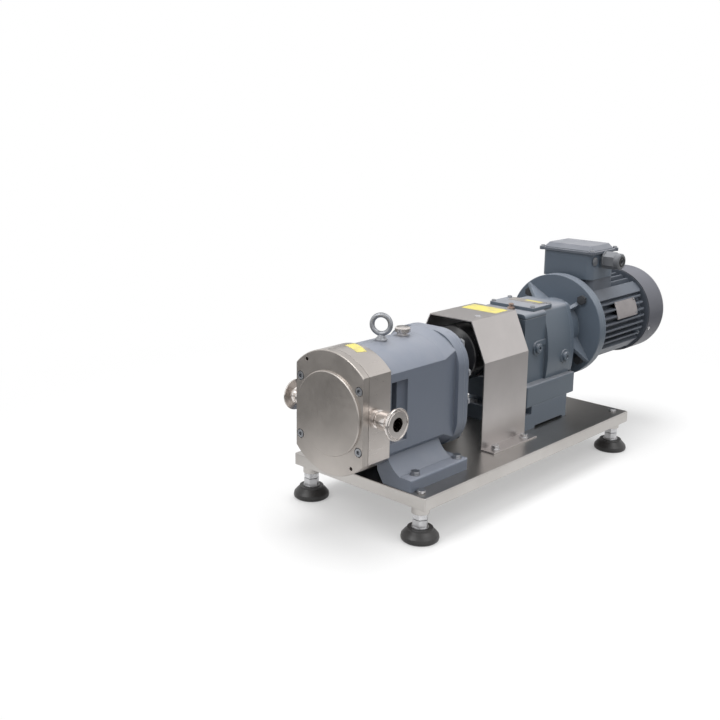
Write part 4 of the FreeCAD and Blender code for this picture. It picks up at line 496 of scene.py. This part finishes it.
case_tag = rounded_sheet("case_tag", 0.036, 0.019, 0.0016, (24, 8))
bpy.ops.transform.rotate(value=radians(14), orient_axis="Z", center_override=(0, 0, 0))
bpy.ops.transform.translate(value=(0.0115, -0.4080, 0.3000))
drape = case_tag.modifiers.new("drape", "SHRINKWRAP")
drape.wrap_method = "PROJECT"
drape.use_project_z = True
drape.use_negative_direction = True
drape.use_positive_direction = False
drape.target = cad["rotor_case"]
drape.offset = 0.00004
thicken(case_tag, "film", 0.00018)
close(case_tag, tag_film, sheet=True)
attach(case_tag, "frame")


# Painted castings of the pump
# The bearing housing and its rear gear cover are iron castings with a satin blue-grey paint that
# keeps a little of the casting's rough skin. A forged eye and a breather stand on top.

cast_skin = bpy.data.node_groups.new("cast_skin", "ShaderNodeTree")
g_in, g_out = group_sockets(
    cast_skin, (("Grain", "NodeSocketFloat", 260.0), ("Waves", "NodeSocketFloat", 30.0)),
    (("Height", "NodeSocketFloat"), ("Clouds", "NodeSocketFloat")))
where = add(cast_skin, "ShaderNodeTexCoord")
fine = add(cast_skin, "ShaderNodeTexNoise", Detail=4.0, Roughness=0.6)
wide = add(cast_skin, "ShaderNodeTexNoise", Detail=2.0)
waves = add(cast_skin, "ShaderNodeMath", operation="MULTIPLY")
waves.inputs[1].default_value = 2.4
total = add(cast_skin, "ShaderNodeMath", operation="ADD")
clouds = add(cast_skin, "ShaderNodeTexNoise", Scale=7.0, Detail=6.0, Roughness=0.6)
for texture in (fine, wide, clouds):
    cast_skin.links.new(where.outputs["Object"], texture.inputs["Vector"])
cast_skin.links.new(g_in.outputs["Grain"], fine.inputs["Scale"])
cast_skin.links.new(g_in.outputs["Waves"], wide.inputs["Scale"])
cast_skin.links.new(wide.outputs["Fac"], waves.inputs[0])
cast_skin.links.new(waves.outputs["Value"], total.inputs[0])
cast_skin.links.new(fine.outputs["Fac"], total.inputs[1])
cast_skin.links.new(total.outputs["Value"], g_out.inputs["Height"])
cast_skin.links.new(clouds.outputs["Fac"], g_out.inputs["Clouds"])

# A pale tone on faces that look up, thicker in patches: dust lying on them, and a painted top
# light.
settled_dust_and_top_light = bpy.data.node_groups.new("settled_dust_and_top_light", "ShaderNodeTree")
g_in, g_out = group_sockets(settled_dust_and_top_light, (("Amount", "NodeSocketFloat", 0.3),),
                            (("Mask", "NodeSocketFloat"),))
facing = add(settled_dust_and_top_light, "ShaderNodeNewGeometry")
upward = add(settled_dust_and_top_light, "ShaderNodeSeparateXYZ")
where = add(settled_dust_and_top_light, "ShaderNodeTexCoord")
drift = add(settled_dust_and_top_light, "ShaderNodeTexNoise", Scale=26.0, Detail=6.0, Roughness=0.6)
thick = add(settled_dust_and_top_light, "ShaderNodeMath", operation="MULTIPLY")
much = add(settled_dust_and_top_light, "ShaderNodeMath", operation="MULTIPLY")
settled_dust_and_top_light.links.new(facing.outputs["Normal"], upward.inputs[0])
settled_dust_and_top_light.links.new(where.outputs["Object"], drift.inputs["Vector"])
settled_dust_and_top_light.links.new(spread(settled_dust_and_top_light, upward.outputs["Z"], 0.0, 1.0, 0.3, 0.98),
                       thick.inputs[0])
settled_dust_and_top_light.links.new(spread(settled_dust_and_top_light, drift.outputs["Fac"], 0.55, 1.0, 0.3, 0.7),
                       thick.inputs[1])
settled_dust_and_top_light.links.new(thick.outputs["Value"], much.inputs[0])
settled_dust_and_top_light.links.new(g_in.outputs["Amount"], much.inputs[1])
settled_dust_and_top_light.links.new(much.outputs["Value"], g_out.inputs["Mask"])


def casting_paint(name, colour, worn_and_highlight, roughness, dust=0.3, depth=0.00012, radius=0.002):
    """Satin paint over a casting: soft edges, lighter on sharp edges for scuffed paint and a
    painted edge highlight, pale on top for dust and a painted top light.
    """
    material, tree, shader = new_material(name)
    skin = place_group(tree, cast_skin)
    edge = place_group(tree, edge_wear_and_highlight, Radius=radius)
    dust_and_top_light = place_group(tree, settled_dust_and_top_light, Amount=dust)
    relief = add(tree, "ShaderNodeBump", Strength=0.6, Distance=depth)
    coat = tones(tree, skin.outputs["Clouds"], tuple(0.93 * c for c in colour),
                 tuple(1.07 * c for c in colour))
    # Lighter on sharp edges: scuffed paint, and a painted edge highlight.
    rubbed_and_highlit = tones(tree, spread(tree, edge.outputs["Mask"], 0.0, 0.65), coat, worn_and_highlight)
    # Pale on faces that look up: dust, and a painted top light.
    tree.links.new(tones(tree, dust_and_top_light.outputs["Mask"], rubbed_and_highlit, (0.42, 0.41, 0.43)),
                   shader.inputs["Base Color"])
    tree.links.new(spread(tree, skin.outputs["Clouds"], roughness - 0.06, roughness + 0.08),
                   shader.inputs["Roughness"])
    tree.links.new(skin.outputs["Height"], relief.inputs["Height"])
    tree.links.new(edge.outputs["Rounded"], relief.inputs["Normal"])
    tree.links.new(relief.outputs["Normal"], shader.inputs["Normal"])
    return material


pump_paint = casting_paint("pump_blue_grey", (0.158, 0.183, 0.232), (0.28, 0.31, 0.36), 0.36)
clothe(pump_paint, "bearing_housing", "gear_cover")
dull_steel = satin_steel("dull_zinc", (0.40, 0.41, 0.43), (0.28, 0.29, 0.31), 0.38, **plated)
clothe(turned_steel, "breather_plug")
clothe(dull_steel, "cover_screws", "eye_bolt", "foot_bolts", "gear_cover_bolts")


# Coupling
# Two blackened iron hubs with a rubber star between them. A set screw locks each hub on its shaft,
# and turns with it.

coupling_iron = moulded("coupling_black_iron", (0.018, 0.018, 0.020), 0.24)
clothe(coupling_iron, "pump_coupling_hub", "gear_coupling_hub")
spider = moulded("spider_rubber", (0.045, 0.012, 0.011), 0.5)
clothe(spider, "coupling_spider")


def standing(spot, facing):
    """The matrix that stands a piece, modelled upright on the origin, on a spot and a facing."""
    return Matrix.Translation(spot) @ Vector(facing).to_track_quat("Z", "Y").to_matrix().to_4x4()


def set_out(piece, body, matrices):
    """Carries a finished piece to the first place, and a copy with its own mesh to each other."""
    pattern, name = piece.data.copy(), piece.name
    for number, matrix in enumerate(matrices, start=1):
        if number > 1:
            piece = piece.copy()
            piece.data = pattern.copy()
            piece.name = "%s_%d" % (name, number)
            bpy.context.collection.objects.link(piece)
        piece.data.transform(matrix)
        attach(piece, body)
    bpy.data.meshes.remove(pattern)


def socket_head(name, radius, height, material, sides=24):
    """The head of a small screw, standing on the origin: a rounded rim and a sunk socket."""
    head = begin(bpy.ops.mesh.primitive_cylinder_add, name, vertices=sides, radius=radius,
                 depth=height)
    bpy.ops.transform.translate(value=(0, 0, height / 2))
    pick(head, "EDGE", lambda e: all(v.co.z > 0.9 * height for v in e.verts))
    bpy.ops.mesh.bevel(offset=0.22 * height, affect="EDGES", segments=3)
    pick(head, "FACE", lambda f: f.normal.z > 0.95 and f.calc_area() > 0.5 * radius ** 2)
    bpy.ops.mesh.inset(thickness=0.36 * radius)
    bpy.ops.mesh.extrude_region_move(TRANSFORM_OT_translate={"value": (0, 0, -0.55 * height)})
    bpy.ops.transform.resize(value=(0.94, 0.94, 1.0))
    close(head, material)
    return head


black_steel = moulded("blackened_steel", (0.050, 0.052, 0.056), 0.28)
shaft_z = 0.231
hub_seat = 0.0266
for hub, y in (("pump", -0.1775), ("gear", -0.0625)):
    set_screw = socket_head("%s_hub_set_screw" % hub, 0.0042, 0.0012, dull_steel)
    set_out(set_screw, "drive_line", [standing((hub_seat, y, shaft_z + hub_seat), (1, 0, 1))])


# Coupling guard
# One stainless sheet, about two millimetres thick, bent to a hood with a flat top and two flared
# feet. Screws hold the feet to the tray, and a blank yellow tag is stuck on its top.

guard_steel = satin_steel("guard_satin_sheet", (0.56, 0.53, 0.52), (0.50, 0.475, 0.465), 0.36,
                          (900.0, 900.0, 14.0))
clothe(guard_steel, "coupling_guard")
clothe(zinc, "guard_bolts")

guard_tag = rounded_sheet("guard_tag", 0.074, 0.040, 0.003, (14, 8))
bpy.ops.transform.translate(value=(-0.0010, -0.0605, 0.29684))
thicken(guard_tag, "film", 0.0002)
close(guard_tag, tag_film, sheet=True)
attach(guard_tag, "frame")


# Riser block
# A hollow iron casting, painted like the drive, that lifts the gear unit to the pump's shaft.

drive_paint = casting_paint("drive_blue_grey", (0.118, 0.148, 0.188), (0.24, 0.28, 0.32), 0.36)
clothe(drive_paint, "riser_block")


# Gear unit
# A bulged iron housing with an inspection plate on top. The plate carries a small aluminium strip
# with a blank yellow field, and a brass vent stands in front of it.

# The gear unit's tops take the most of the pale tone: dust, and a painted top light.
gear_paint = casting_paint("gear_unit_grey", (0.110, 0.139, 0.174), (0.24, 0.28, 0.32), 0.36,
                           dust=0.6)
clothe(gear_paint, "gear_case", "gear_top_cover", "gear_case_plugs")

top_cover_z = 0.293
plate_screw = socket_head("top_cover_screw", 0.0042, 0.0030, dull_steel)
set_out(plate_screw, "frame", [Matrix.Translation((x, y, top_cover_z))
                               for x in (-0.0425, 0.0425) for y in (0.0260, 0.0780)])

strip_metal = satin_steel("bare_aluminium_strip", (0.60, 0.565, 0.53), (0.52, 0.48, 0.45), 0.42,
                          (20.0, 700.0, 700.0), clouds=30.0, radius=0.0004)
strip = rounded_sheet("gear_unit_strip", 0.070, 0.024, 0.002, (14, 6))
bpy.ops.transform.translate(value=(0.0010, 0.0705, 0.29305))
thicken(strip, "wall", 0.0008)
close(strip, strip_metal, sheet=True)
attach(strip, "frame")

field = rounded_sheet("gear_unit_field", 0.034, 0.009, 0.001, (8, 3))
bpy.ops.transform.translate(value=(0.0130, 0.0745, 0.29387))
thicken(field, "film", 0.00012)
close(field, tag_film, sheet=True)
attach(field, "frame")

brass = satin_steel("dull_brass", (0.48, 0.36, 0.30), (0.36, 0.26, 0.215), 0.34,
                    (160.0, 160.0, 160.0), clouds=70.0, bump=0.00004, radius=0.0006)
vent = begin(bpy.ops.mesh.primitive_cylinder_add, "gear_unit_vent", vertices=6, radius=0.0068,
             depth=0.0050)
bpy.ops.transform.translate(value=(0, 0, 0.0025))
pick(vent, "EDGE", lambda e: all(v.co.z > 0.0045 for v in e.verts))
bpy.ops.mesh.bevel(offset=0.0006, affect="EDGES", segments=2)
pick(vent, "FACE", lambda f: f.normal.z > 0.99 and f.calc_area() > 0.00005)
bpy.ops.mesh.inset(thickness=0.0022)
for rise, shrink in ((0.0030, 1.0), (0.0, 1.30), (0.0030, 1.0), (0.0008, 0.82)):
    bpy.ops.mesh.extrude_region_move(TRANSFORM_OT_translate={"value": (0, 0, rise)})
    bpy.ops.transform.resize(value=(shrink, shrink, 1.0))
close(vent, brass)
set_out(vent, "frame", [Matrix.Translation((0.008, 0.0085, 0.287))])


# Adapter flange
# The cast lantern between gear unit and motor ends in a round flange with webs. Four blackened
# screws pull the motor's flange against it.

clothe(drive_paint, "adapter_flange", "motor_flange_shield")
clothe(black_steel, "flange_bolts")


# Motor
# A finned aluminium frame between two shields. A pressed steel cowl covers the fan, and a blank
# aluminium plate is riveted across the fins on the right.

motor_paint = casting_paint("motor_grey", (0.104, 0.120, 0.148), (0.22, 0.25, 0.28), 0.44,
                            dust=0.05)
clothe(motor_paint, "motor_frame", "rear_end_shield")
cowl_paint = casting_paint("cowl_grey", (0.114, 0.118, 0.140), (0.25, 0.26, 0.29), 0.46, dust=0.05,
                           depth=0.00003)
clothe(cowl_paint, "fan_cowl")


def round_motor(angle, radius, y):
    """Stands a piece on the motor's round, at an angle up from its right side."""
    out = Vector((cos(radians(angle)), 0, sin(radians(angle))))
    return standing(Vector((0, y, shaft_z)) + radius * out, out)


plate_metal = satin_steel("bare_aluminium_plate", (0.36, 0.335, 0.335), (0.29, 0.27, 0.27), 0.42,
                          (700.0, 20.0, 700.0), clouds=30.0, radius=0.0004)
plate_radius, plate_length, plate_y = 0.0828, 0.080, 0.3085
plate_from, plate_to = 6.5, 30.5
nameplate = begin(bpy.ops.mesh.primitive_cylinder_add, "motor_plate", vertices=240,
                  radius=plate_radius, depth=plate_length, end_fill_type="NOTHING")
bpy.ops.transform.rotate(value=radians(90), orient_axis="X", center_override=(0, 0, 0))


def off_plate(face):
    """Whether a face of the round lies beside the sector that the plate takes up."""
    middle = face.calc_center_median()
    return not plate_from < atan2(middle.z, middle.x) * 180 / pi < plate_to


pick(nameplate, "FACE", off_plate)
bpy.ops.mesh.delete(type="FACE")
bpy.ops.mesh.select_all(action="SELECT")
bpy.ops.transform.translate(value=(0, plate_y, shaft_z))
ends = [f(v.co.z for v in bmesh.from_edit_mesh(nameplate.data).verts) for f in (min, max)]
pick(nameplate, "VERT", lambda v: min(abs(v.co.z - ends[0]), abs(v.co.z - ends[1])) < 0.0001)
bpy.ops.mesh.bevel(offset=0.002, affect="VERTICES", segments=3)
thicken(nameplate, "wall", 0.0007)
close(nameplate, plate_metal, sheet=True)
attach(nameplate, "frame")

rivet = begin(bpy.ops.mesh.primitive_uv_sphere_add, "plate_rivet", segments=16, ring_count=8,
              radius=0.0019)
pick(rivet, "VERT", lambda v: v.co.z < -0.0001)
bpy.ops.mesh.delete(type="VERT")
bpy.ops.mesh.select_all(action="SELECT")
bpy.ops.transform.resize(value=(1.0, 1.0, 0.5))
pick(rivet, "EDGE", lambda e: e.is_boundary)
bpy.ops.mesh.extrude_edges_move(TRANSFORM_OT_translate={"value": (0, 0, -0.0006)})
bpy.ops.mesh.edge_face_add()
close(rivet, dull_steel)
rivet_seat = 0.08385
set_out(rivet, "frame", [round_motor(angle, rivet_seat, y)
                         for angle in (9.0, 28.0) for y in (0.2722, 0.3448)])

cowl_radius, cowl_screw_y = 0.0879, 0.3995
cowl_screw = socket_head("cowl_screw", 0.0034, 0.0018, zinc)
set_out(cowl_screw, "frame", [round_motor(angle, cowl_radius, cowl_screw_y)
                              for angle in (-18.9, 198.9, 270.0)])

earth_angle, earth_y = -26.8, 0.3782
earth_foot, earth_top = 0.0675, 0.0793
earth = begin(bpy.ops.mesh.primitive_cone_add, "earthing_boss", vertices=24, radius1=0.0075,
              radius2=0.0055, depth=0.012)
bpy.ops.transform.translate(value=(0, 0, 0.006))
pick(earth, "EDGE", lambda e: all(v.co.z > 0.0115 for v in e.verts))
bpy.ops.mesh.bevel(offset=0.0012, affect="EDGES", segments=3)
close(earth, drive_paint)
set_out(earth, "frame", [round_motor(earth_angle, earth_foot, earth_y)])
earth_screw = socket_head("earthing_screw", 0.0036, 0.0022, zinc)
set_out(earth_screw, "frame", [round_motor(earth_angle, earth_top, earth_y)])


# Terminal box
# A cast box on the motor's neck with its lid, a cable gland and a blanking plug. A screw stands in
# each ear of the lid, and a rubber ring fills the gland's mouth.

clothe(drive_paint, "terminal_box")
# The lid's top takes a good share of the pale tone: dust, and a painted top light.
lid_paint = casting_paint("lid_grey", (0.122, 0.137, 0.165), (0.25, 0.27, 0.30), 0.38, dust=0.45)
clothe(lid_paint, "terminal_lid")
gland_paint = casting_paint("gland_grey", (0.145, 0.152, 0.165), (0.26, 0.27, 0.28), 0.36, dust=0.1)
clothe(gland_paint, "cable_gland")

lid_low, lid_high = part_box("terminal_lid")
ear, ear_top = 0.0065, 0.377
lid_screw = socket_head("lid_screw", 0.0040, 0.0030, dull_steel)
set_out(lid_screw, "frame", [Matrix.Translation((x, y, ear_top))
                             for x in (lid_low.x + ear, lid_high.x - ear)
                             for y in (lid_low.y + ear, lid_high.y - ear)])

gland_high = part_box("cable_gland")[1]
insert_rubber = moulded("gland_rubber", (0.020, 0.020, 0.021), 0.5)
insert = begin(bpy.ops.mesh.primitive_torus_add, "gland_ring", major_radius=0.0080,
               minor_radius=0.0022, major_segments=32, minor_segments=10)
bpy.ops.transform.resize(value=(1.0, 1.0, 0.55))
close(insert, insert_rubber)
gland_y, gland_z = 0.2505, 0.358
set_out(insert, "frame", [standing((gland_high.x + 0.0002, gland_y, gland_z), (1, 0, 0))])


# Working parts inside
# Ground steel shafts and gears on ball bearings, rubber seals and rings, a moulded fan, and the
# varnished stack of the motor's stator.

inner_steel = satin_steel("ground_gear_steel", (0.42, 0.42, 0.43), (0.34, 0.34, 0.35), 0.3,
                          (600.0, 60.0, 600.0))
clothe(inner_steel, "drive_shaft", "driven_shaft", "output_shaft", "layshaft", "motor_rotor",
       "upper_timing_gear", "lower_timing_gear", "output_gear", "layshaft_gear", "pump_bearings",
       "gear_bearings")
dark_parts = moulded("dark_rubber", (0.02, 0.02, 0.021), 0.5)
clothe(dark_parts, "cover_seal", "shaft_oil_seals", "upper_seal_ring", "lower_seal_ring",
       "cooling_fan")
varnish = casting_paint("varnished_laminations", (0.16, 0.15, 0.14), (0.3, 0.28, 0.26), 0.45,
                        dust=0.0)
clothe(varnish, "stator_core")
